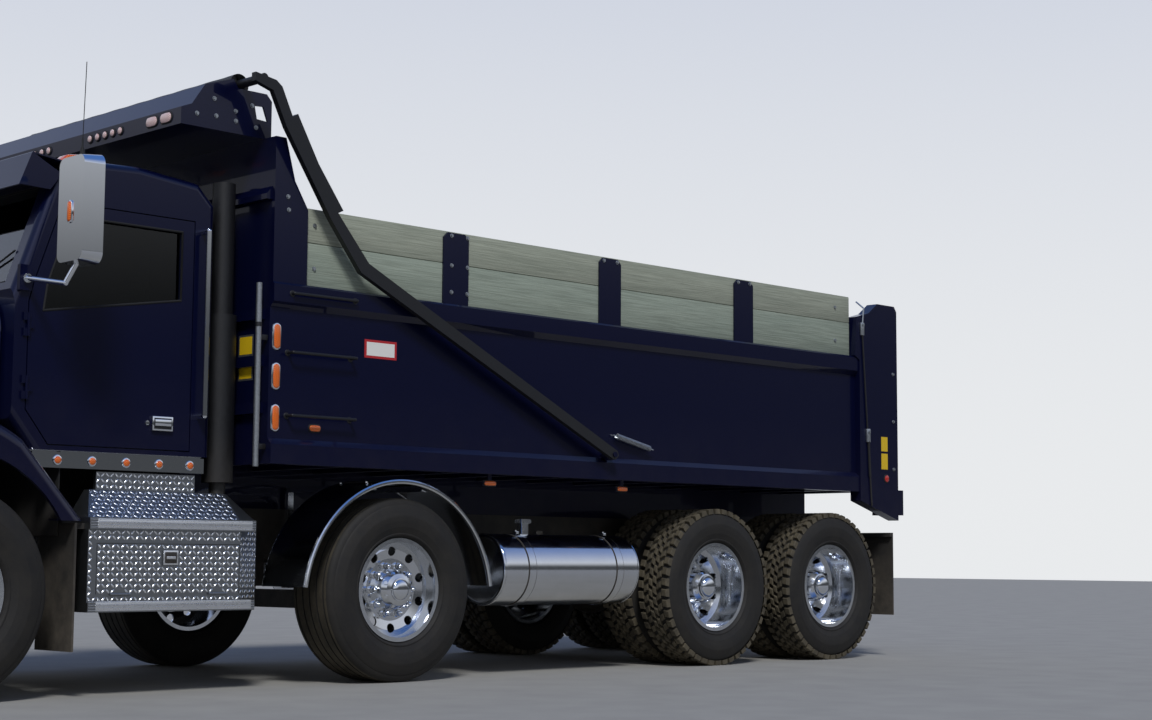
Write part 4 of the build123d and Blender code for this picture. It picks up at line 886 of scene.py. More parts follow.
# each hub: how far out the disc lies, the cap's (along the axis, radius) points, the ring of small bolts'
# radius and how far out it lies
STEER_HUB = (0.0725, ((0.1645, 0.058), (0.172, 0.057), (0.179, 0.050), (0.184, 0.034), (0.186, 0.0)),
             0.098, 0.142)
DRIVE_HUB = (-0.160, ((0.0335, 0.070), (0.040, 0.069), (0.052, 0.060), (0.060, 0.042), (0.064, 0.0)),
             0.092, 0.010)


def spokes(count, shift):
    """Directions from a wheel's centre, evenly round it, shifted by a share of one step."""
    for step in range(count):
        angle = (step + shift) * math.tau / count
        yield Vector((math.cos(angle), 0, math.sin(angle)))


def add_hub(mesh, centre, side, disc_y, cap, ring, ring_y):
    """Nut covers on the disc, small bolts and a cap on the hub."""
    out = Vector((0, side, 0))
    centre = Vector(centre)
    for spoke in spokes(NUT_COUNT, 0.0):
        stamp(mesh, cover, centre + out * disc_y + spoke * NUT_RING, towards(out))
    for spoke in spokes(SMALL_BOLTS, 0.5):
        stamp(mesh, bolt, centre + out * ring_y + spoke * ring, towards(out + spoke * 0.7))
    add_turned(mesh, cap, centre, out, 32)
    # a grooved collar where the cap meets the hub
    base, wide = cap[0]
    collar = ((-0.004, 0.010), (0.002, 0.009), (0.003, 0.003), (-0.002, 0.001))
    add_turned(mesh, [(base + along, wide + radius) for along, radius in collar], centre, out, 32)


for name, side in SIDES:
    for axle, x, track in STEERED:
        mesh = bmesh.new()
        add_hub(mesh, (x, side * track, AXLE_Z), side, *STEER_HUB)
        finish_piece(f"{axle}_hub_trim_{name}", mesh, (chrome,), f"{axle}_wheel_{name}")
    for axle, x in DRIVEN:
        mesh = bmesh.new()
        add_hub(mesh, (x, side * TWIN_YS[0], AXLE_Z), side, *DRIVE_HUB)
        finish_piece(f"{axle}_hub_trim_{name}", mesh, (chrome,), f"{axle}_wheels_{name}")

# %% [markdown]
# ## Marker lamps
# A marker lamp is a moulded acrylic dome in a rubber or chromed ring, set
# into its plate. The dome is half a sphere with a steep rim: pulled apart in
# the middle it becomes a long lamp. The ring is the same shape, wider and
# flatter, so that it shows as an even border. The guard's lamps are faded to
# a pale pink, the side markers are amber and the rear ones red.

# %% Lenses and rings
SEGMENTS = 16
RING_WIDTH = 0.007
RING_SHARE = 0.55


def add_dome(mesh, place, out, up, width, height, depth, paint=0):
    """Half a flattened sphere on a plate: its height lies along up and its depth along out."""
    part = bmesh.new()
    bmesh.ops.create_uvsphere(part, u_segments=SEGMENTS, v_segments=8, radius=1.0)
    bmesh.ops.bisect_plane(part, geom=part.verts[:] + part.edges[:] + part.faces[:], dist=1e-5,
                           plane_co=(0, 0, 0), plane_no=(0, 0, -1), clear_outer=True)
    radius = min(width, height) / 2
    for vert in part.verts:
        x, y, z = vert.co
        pull_x = math.copysign(width / 2 - radius, x) if abs(x) > 0.01 else 0.0
        pull_y = math.copysign(height / 2 - radius, y) if abs(y) > 0.01 else 0.0
        vert.co = (x * radius + pull_x, y * radius + pull_y, depth * max(z, 0.0) ** 0.5)
    out, up = Vector(out).normalized(), Vector(up)
    across = up.cross(out).normalized()
    turn = Matrix((across, out.cross(across), out)).transposed().to_4x4()
    bmesh.ops.transform(part, matrix=Matrix.Translation(place) @ turn, verts=part.verts)
    join_in(mesh, part, paint)


def add_lamp(mesh, place, out, up, width, height, depth, lens, ring):
    """A lens and the ring round it; lens and ring are finish numbers."""
    add_dome(mesh, place, out, up, width, height, depth, lens)
    add_dome(mesh, place, out, up, width + 2 * RING_WIDTH, height + 2 * RING_WIDTH,
             depth * RING_SHARE, ring)


LENSES = (amber, red, rose, sheet_rubber, chrome, navy)
AMBER, RED, ROSE, RUBBER, BRIGHT, PAINT = range(6)
print("lens finishes:", [finish.name for finish in LENSES])

# %% [markdown]
# ## Lamps on the body
# Three tall lamps mark the body's front corner, small ones the side and its
# lower edge, where each hangs on a bent bracket. The rear post has a red one.
# The guard's front edge carries two rows of small round lamps and two pairs
# of long ones. Their places are seen on the left side, and a loop gives the
# right side the same.

# %% Body lamps
SKIRT_LAMPS_X = (-0.255, -1.418)
BRACKET_Y = 1.2193
# Lamps on each side of the body: place (x, distance from the middle, z), width, height, depth, lens, ring
SIDE_LAMPS = (
    ((1.3675, 1.2453, 1.475), 0.046, 0.138, 0.015, AMBER, BRIGHT),
    ((1.3675, 1.2453, 1.705), 0.046, 0.138, 0.015, AMBER, BRIGHT),
    ((1.3675, 1.2453, 1.925), 0.046, 0.138, 0.015, AMBER, BRIGHT),
    ((1.095, 1.2453, 1.430), 0.078, 0.036, 0.012, AMBER, RUBBER),
    ((SKIRT_LAMPS_X[0], 1.2220, 1.1675), 0.096, 0.030, 0.016, AMBER, RUBBER),
    ((SKIRT_LAMPS_X[1], 1.2220, 1.1675), 0.096, 0.030, 0.016, AMBER, RUBBER),
    ((-4.225, 1.2903, 1.327), 0.054, 0.054, 0.012, RED, RUBBER),
)
GUARD_FACE_X, GUARD_LAMP_Z = 1.9603, 3.09
GUARD_ROUND_Y = (0.230, 0.310, 0.390, 0.470, 0.550)
GUARD_LONG_Y = (0.870, 1.010)
TAIL_X, TAIL_Y, TAIL_Z, TAIL_WIDE = -4.5653, 1.1, 1.155, 0.1

mesh = bmesh.new()
for name, side in SIDES:
    for (x, y, z), width, height, depth, lens, ring in SIDE_LAMPS:
        add_lamp(mesh, (x, side * y, z), (0, side, 0), UP, width, height, depth, lens, ring)
    for x in SKIRT_LAMPS_X:
        add_box(mesh, (x - 0.055, side * (BRACKET_Y - 0.003), 1.149),
                (x + 0.055, side * (BRACKET_Y + 0.003), 1.186), 0.002, PAINT)
        add_box(mesh, (x - 0.015, side * (BRACKET_Y - 0.003), 1.184),
                (x + 0.015, side * (BRACKET_Y + 0.005), 1.2215), 0.0, PAINT)
    add_lamp(mesh, (TAIL_X, side * TAIL_Y, TAIL_Z), BACK, UP, TAIL_WIDE, TAIL_WIDE, 0.012, RED, RUBBER)
    for y in GUARD_ROUND_Y:
        add_lamp(mesh, (GUARD_FACE_X, side * y, GUARD_LAMP_Z), AHEAD, UP, 0.042, 0.042, 0.015, ROSE, RUBBER)
    for y in GUARD_LONG_Y:
        add_lamp(mesh, (GUARD_FACE_X, side * y, GUARD_LAMP_Z), AHEAD, UP, 0.108, 0.056, 0.014, ROSE, RUBBER)
lamps = finish_piece("body_marker_lamps", mesh, LENSES, "dump_body")
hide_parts("body_lamps")

# %% [markdown]
# ## Bolts and small hardware on the body
# The sideboards drop into steel pockets and are held there by two bolts, the
# front pocket by six. More bolts hold the wing plates and the guard's cheeks.
# Each place is given as seen from the side, and a ray finds the plate there,
# so that no bolt floats. The heads are zinc plated, pale against the paint.

# %% Body bolts
# Places (x, z) of bolts seen from the side, after the nodes that they may be in
BOLTS = (
    (("sideboards", "dump_body"), ((-3.668, 2.575), (-3.668, 2.329), (0.105, 2.642), (-0.022, 2.642),
                                   (0.103, 2.462), (-0.024, 2.462), (0.103, 2.300), (-0.024, 2.300),
                                   (-1.208, 2.642), (-1.332, 2.642), (-2.553, 2.642), (-2.677, 2.642),
                                   (1.120, 2.575), (1.120, 2.329))),
    (("cab_guard",), ((1.750, 3.212), (1.860, 3.112), (1.735, 3.118), (1.608, 3.165), (1.606, 3.110),
                      (1.500, 3.215), (1.470, 3.095))),
    (("dump_body",), ((1.327, 2.710), (1.320, 2.636), (-4.320, 1.400), (-4.320, 1.760), (-4.320, 2.120))),
)


def plate_at(names, start, direction):
    """Where a ray first meets any of these nodes, or None."""
    hits = []
    for name in names:
        met, place, normal, face = nodes[name].ray_cast(Vector(start), Vector(direction))
        if met:
            hits.append(((place - Vector(start)).length, place))
    return min(hits)[1] if hits else None


mesh = bmesh.new()
for name, side in SIDES:
    for names, places in BOLTS:
        for x, z in places:
            place = plate_at(names, (x, side * 2.0, z), (0, -side, 0))
            if place is None:
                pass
            else:
                stamp(mesh, bolt, place, towards((0, side, 0)))
finish_piece("body_bolts", mesh, (zinc,), "dump_body")

# %% [markdown]
# ## Sideboards
# Two sawn planks stand on the body's rail on each side, one on the other.
# Their edges are rounded by the planer, which draws a dark line along the
# joint, and the upper one has bleached more than the lower one.

# %% Sideboards
BOARD_REAR_X, BOARD_FRONT_X = -3.845, 1.180
BOARD_INNER_Y, BOARD_OUTER_Y = 1.2007, 1.2423
BOARD_EDGE = 0.006
# lowest and highest point of each board, with a joint 2 mm wide between them
BOARDS_Z = ((2.2265, 2.4725), (2.4745, 2.669))
mesh = bmesh.new()
for name, side in SIDES:
    for paint, (low, high) in enumerate(BOARDS_Z):
        add_box(mesh, (BOARD_REAR_X, side * BOARD_INNER_Y, low), (BOARD_FRONT_X, side * BOARD_OUTER_Y, high),
                BOARD_EDGE, paint)
planks = finish_piece("sideboard_planks", mesh, (board, upper_board), "dump_body")
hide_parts("sideboards")

# %% [markdown]
# ## Signs and labels
# The body's side carries a reflecting plate, white inside a red border, and
# the bulkhead and the rear posts carry yellow labels. They are thin plates,
# glued on, and are left blank. A picture on the paint would be simpler, but
# a plate has an edge that catches light, and a mesh keeps it in any export.


# %% Signs and labels
def add_plate(mesh, middle, size, out, paint, proud):
    """A thin glued plate facing along X or Y; size is its width and height, proud its thickness."""
    middle, out = Vector(middle), Vector(out)
    half = Vector((abs(out.y) * size[0], abs(out.x) * size[0], size[1])) / 2
    add_box(mesh, middle - half, middle + half + out * proud, 0.0, paint)


# Plates seen from the side: middle (x, distance from the middle, z), size, finish, how proud it lies
mesh = bmesh.new()
SIGN_WHITE, SIGN_RED, SIGN_YELLOW, SIGN_EDGE = range(4)
SIDE_PLATES = (
    ((0.630, 1.2450, 1.910), (0.238, 0.106), SIGN_RED, 0.0015),
    ((0.630, 1.2450, 1.910), (0.206, 0.078), SIGN_WHITE, 0.0022),
    ((-4.204, 1.2900, 1.585), (0.078, 0.108), SIGN_YELLOW, 0.0015),
    ((-4.204, 1.2900, 1.455), (0.078, 0.118), SIGN_YELLOW, 0.0015),
)
BULKHEAD_X, LABEL_Y, LABEL_RIM = 1.415, 1.027, 0.022
for name, side in SIDES:
    for (x, y, z), size, paint, proud in SIDE_PLATES:
        add_plate(mesh, (x, side * y, z), size, (0, side, 0), paint, proud)
    for z, width, height in ((1.885, 0.138, 0.120), (1.750, 0.138, 0.122)):
        middle = (BULKHEAD_X, side * LABEL_Y, z)
        add_plate(mesh, middle, (width, height), AHEAD, SIGN_EDGE, 0.0012)
        add_plate(mesh, middle, (width - LABEL_RIM, height - LABEL_RIM), AHEAD, SIGN_YELLOW, 0.002)
finish_piece("body_signs", mesh, (sign_white, sign_red, sign_yellow, zinc), "dump_body")

# %% [markdown]
# ## The gate's latch rods
# The tailgate's top pins are pulled by a rod down each rear post: a clevis at
# the top, a thin rod, a second clevis and a rubber sleeve below it. The rods
# are straight runs of round bar, a few millimetres off the post.

# %% Latch rods
LATCH_Y = 1.2985
mesh = bmesh.new()
for name, side in SIDES:
    y = side * LATCH_Y
    add_box(mesh, (-3.948, y - 0.008, 2.385), (-3.908, y + 0.008, 2.480), 0.004, 0)
    add_bar(mesh, ((-3.928, y, 2.440), (-3.950, y, 2.590), (-3.990, side * 1.20, 2.650)), 0.006, 8, 0)
    add_bar(mesh, ((-3.932, y, 2.390), (-3.985, y, 1.680)), 0.006, 8, 1)
    add_box(mesh, (-4.012, y - 0.009, 1.590), (-3.972, y + 0.009, 1.690), 0.004, 0)
    add_bar(mesh, ((-3.996, y, 1.600), (-4.012, y, 1.330)), 0.010, 10, 2)
    add_bar(mesh, ((-4.012, y, 1.340), (-4.030, y, 1.120)), 0.006, 8, 1)
    for x, z in ((-3.928, 2.462), (-3.992, 1.665)):
        stamp(mesh, bolt, (x, y + side * 0.008, z), towards((0, side, 0)))
finish_piece("gate_latch_rods", mesh, (zinc, black, sheet_rubber), "dump_body")

# %% [markdown]
# ## Tarp springs
# Each tarp arm is thrown back by a helical spring beside its pivot. Spinning
# a small circle round the axis while it climbs gives the helix in one call.

# %% Springs
SPRING_NEAR, SPRING_FAR = Vector((-1.290, 1.278, 1.508)), Vector((-1.648, 1.278, 1.432))
SPRING_RADIUS, WIRE_RADIUS, TURNS, TURN_STEPS = 0.0165, 0.0035, 26, 10
HOOK_SHARE = 0.07


def add_spring(mesh, near, far, radius, wire, turns):
    """A helical spring between two points, with a straight hook wire at each end."""
    part = bmesh.new()
    run = far - near
    along = run.normalized()
    out = along.orthogonal().normalized()
    coil = run * (1 - 2 * HOOK_SHARE)
    start = Matrix.Translation(near + run * HOOK_SHARE + out * radius)
    ring = bmesh.ops.create_circle(part, segments=6, radius=wire,
                                   matrix=start @ towards(along.cross(out)).to_4x4())["verts"]
    steps = turns * TURN_STEPS
    bmesh.ops.spin(part, geom=ring + part.edges[:], cent=near, axis=along, dvec=coil / steps,
                   angle=math.tau * turns, steps=steps, use_duplicate=False)
    bmesh.ops.recalc_face_normals(part, faces=part.faces)
    join_in(mesh, part)
    for end, inwards in ((near, run), (far, -run)):
        add_bar(mesh, (end - inwards * 0.03, end + inwards * 0.08), wire * 1.2, 8)


mesh = bmesh.new()
for name, side in SIDES:
    flip = Vector((1, side, 1))
    add_spring(mesh, SPRING_NEAR * flip, SPRING_FAR * flip, SPRING_RADIUS, WIRE_RADIUS, TURNS)
springs = finish_piece("tarp_coil_springs", mesh, (zinc,), "dump_body")
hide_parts("tarp_springs")

# %% [markdown]
# ## Steps and pole at the body's front corners
# The rungs are round bar, welded on and painted black. The upright pole is a
# plain galvanised tube with a clamp band, held by two lugs on the bulkhead.
# Both are in the CAD already, in one finish. They are drawn again with what it
# leaves out: a weld round the foot of each rung, the pole's clamp, and zinc
# and black side by side.

# %% Body steps
RUNG_REAR_X, RUNG_FRONT_X, RUNG_OUT_Y = 0.850, 1.290, 1.302
# each rung's height and the wall behind it: the rail at the top, the side sheet below
RUNGS = ((2.168, 1.2803), (1.840, 1.2453), (1.490, 1.2453))
POLE_X, POLE_Y, POLE_LOW_Z, POLE_LENGTH = 1.475, 1.225, 1.205, 1.010
CLAMP_Z, LUGS_Z = 1.985, (1.300, 1.900)
rung_foot = ((0.0, 0.019), (0.003, 0.017), (0.004, 0.009))
mesh = bmesh.new()
for name, side in SIDES:
    out = side * RUNG_OUT_Y
    for z, wall in RUNGS:
        wall *= side
        add_bar(mesh, ((RUNG_REAR_X, wall, z), (RUNG_REAR_X, out, z), (RUNG_FRONT_X, out, z),
                       (RUNG_FRONT_X, wall, z)), 0.009, 10, 0)
        for x in (RUNG_REAR_X, RUNG_FRONT_X):
            add_turned(mesh, rung_foot, (x, wall, z), (0, side, 0), 14, 0)
    y = side * POLE_Y
    add_turned(mesh, ((0.0, 0.013), (0.0, 0.017), (POLE_LENGTH, 0.017), (POLE_LENGTH, 0.013)),
               (POLE_X, y, POLE_LOW_Z), UP, 20, 1)
    add_turned(mesh, ((-0.012, 0.0172), (-0.012, 0.0195), (0.012, 0.0195), (0.012, 0.0172)),
               (POLE_X, y, CLAMP_Z), UP, 20, 0)
    for z in LUGS_Z:
        add_box(mesh, (BULKHEAD_X + 0.0005, y - 0.010, z), (POLE_X, y + 0.010, z + 0.030), 0.002, 0)
steps = finish_piece("body_step_bars", mesh, (black, zinc), "dump_body")
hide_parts("body_steps")

# %% [markdown]
# ## Tread plate
# The step boxes are folded from tread plate: aluminium sheet rolled with
# raised lozenges that cross at right angles. The lozenge is a low cone drawn
# out to an ellipse, stamped every 27 mm in two directions in turn. A ray
# checks that there is flat plate under each one and around it, so the pattern
# stops short of edges and openings just as a bent plate is trimmed. A bump
# texture would be lighter, but a lozenge has sides that catch the light.

# %% Tread plate
LOZENGE_PITCH = 0.027
LOZENGE_LONG, LOZENGE_SHORT, LOZENGE_HIGH = 0.029, 0.0095, 0.0024


def lozenge(mesh):
    """One raised lozenge, lying along X."""
    bmesh.ops.create_cone(mesh, cap_ends=False, segments=8, radius1=0.5, radius2=0.22, depth=1.0,
                          matrix=Matrix.Translation((0, 0, 0.5)))
    rim = [edge for edge in mesh.edges if edge.is_boundary and edge.verts[0].co.z > 0.5]
    bmesh.ops.contextual_create(mesh, geom=rim)
    bmesh.ops.scale(mesh, verts=mesh.verts, vec=(LOZENGE_LONG, LOZENGE_SHORT, LOZENGE_HIGH))


raised = template(lozenge)
print("lozenge template:", len(raised.polygons), "faces")

# %% [markdown]
# ## Finding the flat plate
# A patch is a parallelogram near the surface. Over each of its grid points a
# ray is shot at the CAD node from 50 mm outside. The plate counts as flat if
# the ray meets it square on, within 4 mm of the patch, there and at four
# probes that lie 11 mm round it.

# %% Lozenges on a patch
REACH = 0.05
FLAT_WITHIN = 0.004
PROBE_SHARE = 0.42


def flat_under(node, spot, out, probes):
    """The plate's place under a spot if the plate is flat there and at all the probes, else None."""
    found = None
    for probe in [Vector((0, 0, 0))] + probes:
        met, place, normal, face = nodes[node].ray_cast(spot + probe + out * REACH, -out, distance=2 * REACH)
        if not met or normal.dot(out) < 0.999 or abs((place - spot).dot(out)) > FLAT_WITHIN:
            return None
        found = found or place
    return found


def add_tread_plate(mesh, node, corner, along, across):
    """Lozenges over the part of a node that lies in the parallelogram from corner; gives how many."""
    right, up = along.normalized(), across.normalized()
    out = along.cross(across).normalized()
    probes = [way * LOZENGE_PITCH * PROBE_SHARE for way in (right, -right, up, -up)]
    columns, rows = (int(edge.length / LOZENGE_PITCH) for edge in (along, across))
    spots = 0
    for i in range(columns):
        for j in range(rows):
            spot = corner + along * ((i + 0.5) / columns) + across * ((j + 0.5) / rows)
            place = flat_under(node, spot, out, probes)
            if place is None:
                continue
            lean = math.radians(45 if (i + j) % 2 else -45)
            x_axis = Matrix.Rotation(lean, 3, out) @ right
            turn = Matrix((x_axis, out.cross(x_axis), out)).transposed()
            stamp(mesh, raised, place, turn)
            spots += 1
    return spots


def mirrored(side, corner, along, across):
    """The same patch on the left (1) or right (-1) side, with its outside kept outside."""
    flip = Vector((1, side, 1))
    corner, along, across = (Vector(v) * flip for v in (corner, along, across))
    return (corner, along, across) if side > 0 else (corner, across, along)


print("a ray starts", REACH, "m off the plate")

# %% [markdown]
# ## Step boxes and their doors
# The box front, its cut rear corner, its rear end, the slope and the riser
# above it are patches of their own; the door is another piece, because it
# drops open on its hinges. One patch over all of it would be shorter, but each
# fold of a bent box has its own direction, and its pattern starts anew. Each
# of the two steps wears a bright ribbed strip, and a paddle latch in a dish
# shuts the door.

# %% Step boxes
# Patches on the left side: corner, then the two edges, turning so that their cross product points out
BOX_PATCHES = (
    ((2.485, 1.220, 0.480), (-0.928, 0, 0), (0, 0, 0.370)),
    ((1.557, 1.220, 0.430), (-0.172, -0.100, 0), (0, 0, 0.480)),
    ((1.385, 1.120, 0.430), (0, -0.260, 0), (0, 0, 0.480)),
    ((2.484, 1.212, 0.9090), (-0.922, 0, 0), (0, -0.1520, 0.1470)),
    ((2.345, 1.042, 1.058), (-0.605, 0, 0), (0, 0, 0.092)),
)
DOOR_PATCH = ((2.432, 1.220, 0.5205), (-0.869, 0, 0), (0, 0, 0.2565))
STEPS_LOW_Z = (0.430, 0.850)
STEP_FACE_Y, DOOR_FACE_Y = 1.234, 1.228
RIB_COUNT, RIB_PITCH = 4, 0.0133
# the latch's rim, dish and folding handle: corners (x, z), how proud, finish
LATCH = (((1.955, 0.670), (2.045, 0.745), 0.0035, 0), ((1.963, 0.678), (2.037, 0.737), 0.0040, 1),
         ((1.972, 0.700), (2.028, 0.714), 0.0075, 0))
for name, side in SIDES:
    mesh = bmesh.new()
    spots = sum(add_tread_plate(mesh, "step_boxes", *mirrored(side, *patch)) for patch in BOX_PATCHES)
    for low in STEPS_LOW_Z:
        add_box(mesh, (1.490, side * (STEP_FACE_Y - 0.001), low + 0.006),
                (2.440, side * (STEP_FACE_Y + 0.001), low + 0.054), 0.0005)
        for rib in range(RIB_COUNT):
            z = low + 0.010 + rib * RIB_PITCH
            add_bar(mesh, ((1.470, side * STEP_FACE_Y, z), (2.482, side * STEP_FACE_Y, z)), 0.0022, 6)
    # the lozenges' pale metal is partly a painted highlight
    finish_piece(f"step_tread_plate_{name}", mesh, (lozenge_metal,), "chassis")
    mesh = bmesh.new()
    door_spots = add_tread_plate(mesh, f"box_door_{name}", *mirrored(side, *DOOR_PATCH))
    for (low_x, low_z), (high_x, high_z), proud, paint in LATCH:
        add_box(mesh, (low_x, side * DOOR_FACE_Y, low_z), (high_x, side * (DOOR_FACE_Y + proud), high_z),
                0.001, paint)
    finish_piece(f"box_door_plate_{name}", mesh, (lozenge_metal, black), f"box_door_{name}")

# %% [markdown]
# ## Tanks
# The tanks are rolled drums. Each strap is lined with black rubber that shows
# as a dark edge on both its sides, and is drawn tight by a bolt in a block on
# top. A raised weld runs round each end, and the filler's cap has 20 grips.
# Linings and welds are small profiles spun round the drum's own axis, so they
# lie on it evenly all the way round.

# %% Tank trim
TANK_Y, TANK_Z, TANK_RADIUS = 0.995, 0.645, 0.222
STRAPS_X, STRAP_HALF, WELDS_X = (-1.414, -0.632), 0.029, (-1.590, -0.410)
TIGHTENER_OUT, TIGHTENER_HIGH = 0.06, 0.016
CAP_X, CAP_IN, CAP_RADIUS, CAP_LOW_Z, CAP_TOP_Z, CAP_GRIPS = -0.790, 0.04, 0.0505, 0.938, 0.960, 20
lining = [(along, TANK_RADIUS + rise) for along, rise in ((-0.0035, 0.0002), (-0.0035, 0.0035),
                                                          (0.0035, 0.0035), (0.0035, 0.0002))]
weld = [(along, TANK_RADIUS + rise) for along, rise in ((-0.004, -0.0002), (0.0, 0.0015), (0.004, -0.0002))]
mesh = bmesh.new()
for name, side in SIDES:
    y = side * TANK_Y
    for x in STRAPS_X:
        for edge in (-STRAP_HALF, STRAP_HALF):
            add_turned(mesh, lining, (x + edge, y, TANK_Z), AHEAD, 64, 1)
        middle, top = y + side * TIGHTENER_OUT, TANK_Z + TANK_RADIUS
        add_box(mesh, (x - 0.012, middle - 0.02, top), (x + 0.012, middle + 0.02, top + TIGHTENER_HIGH),
                0.003, 0)
        stamp(mesh, bolt, (x, middle, top + TIGHTENER_HIGH - 0.002))
    for x in WELDS_X:
        add_turned(mesh, weld, (x, y, TANK_Z), AHEAD, 64, 0)
    for grip in range(CAP_GRIPS):
        angle = math.tau * grip / CAP_GRIPS
        x, edge_y = CAP_X + CAP_RADIUS * math.cos(angle), y - side * CAP_IN + CAP_RADIUS * math.sin(angle)
        add_bar(mesh, ((x, edge_y, CAP_LOW_Z), (x, edge_y, CAP_TOP_Z)), 0.0028, 6, 0)
finish_piece("tank_trim", mesh, (aluminium, sheet_rubber), "chassis")

# %% [markdown]
# ## Lift axle fenders
# The half round fenders are rolled from thin sheet, and their edges are
# rolled over a wire, which gives the bright line round each arch. A bent bar
# would show its corners, so the edge is a ring's profile spun through the
# part of a turn that the fender covers.

# %% Fender trim
FENDER_X, FENDER_Z, FENDER_R = 0.468, 0.460, 0.705
FENDER_LOW_Z = 0.550
LOW_ANGLE = math.asin((FENDER_LOW_Z - FENDER_Z) / FENDER_R)
STRAP_BOLT_OUT, STRAP_BOLTS_Y, FENDER_TOP_Z = 0.190, (0.93, 1.17), 1.1655
mesh = bmesh.new()
for name, side in SIDES:
    for y, wire in ((0.884, 0.006), (1.272, 0.015)):
        add_turned(mesh, ring_profile(FENDER_R - 0.8 * wire, wire), (FENDER_X, side * y, FENDER_Z),
                   ACROSS, 64, 0, math.pi - 2 * LOW_ANGLE, (-math.cos(LOW_ANGLE), 0, math.sin(LOW_ANGLE)))
    for away in (-STRAP_BOLT_OUT, STRAP_BOLT_OUT):
        for y in STRAP_BOLTS_Y:
            z = FENDER_TOP_Z - away ** 2 / (2 * FENDER_R)
            stamp(mesh, bolt, (FENDER_X + away, side * y, z))
finish_piece("fender_trim", mesh, (aluminium,), "chassis")

# %% [markdown]
# ## Inside the cab
# Through the tinted glass one sees two air seats, the dashboard and a large,
# flat steering wheel. A seat is foam in a sewn vinyl cover: the foam bulges
# between the seams, and the seams pull narrow grooves beside the bolsters.
# So each cushion starts as a finely divided box, is rounded like a stuffed
# block, bulged in the middle and drawn in along the seams.

# %% Seats
CUSHION_CUTS = 19
# where the seams lie, and how wide they are, in shares of the cushion's half width
SEAM_ACROSS, SEAM_ALONG, SEAM_WIDTH = 0.62, 0.05, 0.05


def add_cushion(mesh, place, size, turn=None, bulge=0.02, seam=0.010):
    """A foam cushion of that size about a place; its face is +Z and its two long seams run along X."""
    part = bmesh.new()
    bmesh.ops.create_cube(part, size=2.0)
    bmesh.ops.subdivide_edges(part, edges=part.edges[:], cuts=CUSHION_CUTS, use_grid_fill=True)
    half = Vector(size) / 2
    for vert in part.verts:
        x, y, z = vert.co
        biggest = max(abs(x), abs(y), abs(z))
        norm = (abs(x) ** 7 + abs(y) ** 7 + abs(z) ** 7) ** (1 / 7)
        x, y, z = (value * biggest / norm for value in (x, y, z))
        rise = bulge * (1 - x * x) * (1 - y * y) if z > 0 else 0.0
        groove = (math.exp(-((abs(y) - SEAM_ACROSS) / SEAM_WIDTH) ** 2)
                  + math.exp(-((abs(x) - SEAM_ALONG) / SEAM_WIDTH) ** 2) * 0.6)
        rise -= seam * min(groove, 1.0) if z > 0.5 else 0.0
        vert.co = (x * half.x, y * half.y, z * half.z + rise)
    place = Matrix.Translation(place) @ (turn.to_4x4() if turn else Matrix())
    bmesh.ops.transform(part, matrix=place, verts=part.verts)
    join_in(mesh, part)


SEAT_Y = (0.560, -0.560)
BACK_LEAN = Matrix.Rotation(math.radians(-84), 3, "Y")
mesh = bmesh.new()
for y in SEAT_Y:
    add_cushion(mesh, (2.155, y, 1.600), (0.520, 0.500, 0.150))
    add_cushion(mesh, (1.945, y, 1.905), (0.500, 0.480, 0.120), BACK_LEAN)
    add_cushion(mesh, (1.915, y, 2.205), (0.130, 0.300, 0.090), BACK_LEAN, 0.01, 0.0)
seats = finish_piece("seat_cushions", mesh, (vinyl,), "chassis")
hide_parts("cab_interior")

# %% [markdown]
# ## Dashboard, steering wheel and seat stands
# The dashboard is one moulded shell with an instrument panel turned to the
# driver's seat. The wheel is a ring with four spokes round a domed hub on its
# column, and each seat stands on an air spring under a steel plate. All of it
# is seen through dark glass only, so plain drawn and turned shapes will do.


# %% Dashboard, wheel and seat stands
def add_slab(mesh, outline, low_y, high_y, rounding=0.0, paint=0):
    """A side outline of (x, z) points drawn out between two Y limits."""
    add_drawn(mesh, [(x, low_y, z) for x, z in outline], (0, high_y - low_y, 0), rounding, paint)


WHEEL = Vector((2.395, 0.560, 1.880))
WHEEL_AXIS = Vector((-0.145, 0, 0.080)).normalized()
# the gauges (y, z, radius) on the leaning panel
GAUGES = ((0.480, 1.905, 0.052), (0.640, 1.905, 0.052), (0.375, 1.880, 0.026), (0.375, 1.820, 0.026),
          (0.745, 1.880, 0.026), (0.745, 1.820, 0.026))
PANEL_X, PANEL_Z, PANEL_LEAN = 2.470, 1.820, 0.06
mesh = bmesh.new()
add_slab(mesh, ((2.560, 1.560), (2.500, 1.660), (2.480, 1.880), (2.560, 1.960), (2.795, 1.960),
                (2.795, 1.560)), -0.985, 0.985, 0.02, 0)
add_slab(mesh, ((2.478, 1.700), (2.462, 1.890), (2.510, 2.000), (2.640, 1.995), (2.640, 1.700)),
         0.300, 0.820, 0.02, 0)
for y, z, radius in GAUGES:
    x = PANEL_X - (z - PANEL_Z) * PANEL_LEAN
    add_turned(mesh, ((-0.012, 0.0), (-0.012, radius), (0.0, radius + 0.004), (0.014, radius + 0.004)),
               (x, y, z), AHEAD, 20, 1)
for y in (-0.560, 0.0):
    add_box(mesh, (2.470, y - 0.17, 1.700), (2.480, y + 0.17, 1.845), 0.006, 1)
add_turned(mesh, ring_profile(0.2175, 0.0145), WHEEL, WHEEL_AXIS, 40, 0)
add_turned(mesh, ((-0.02, 0.030), (0.0, 0.055), (0.014, 0.050), (0.020, 0.0)), WHEEL, WHEEL_AXIS, 24, 0)
across, upwards = Vector(ACROSS), WHEEL_AXIS.cross(Vector(ACROSS))
for spoke in range(4):
    angle = math.tau * (spoke + 0.5) / 4
    arm = across * math.cos(angle) + upwards * math.sin(angle)
    add_bar(mesh, (WHEEL + arm * 0.045, WHEEL + arm * 0.212), 0.010, 8, 1)
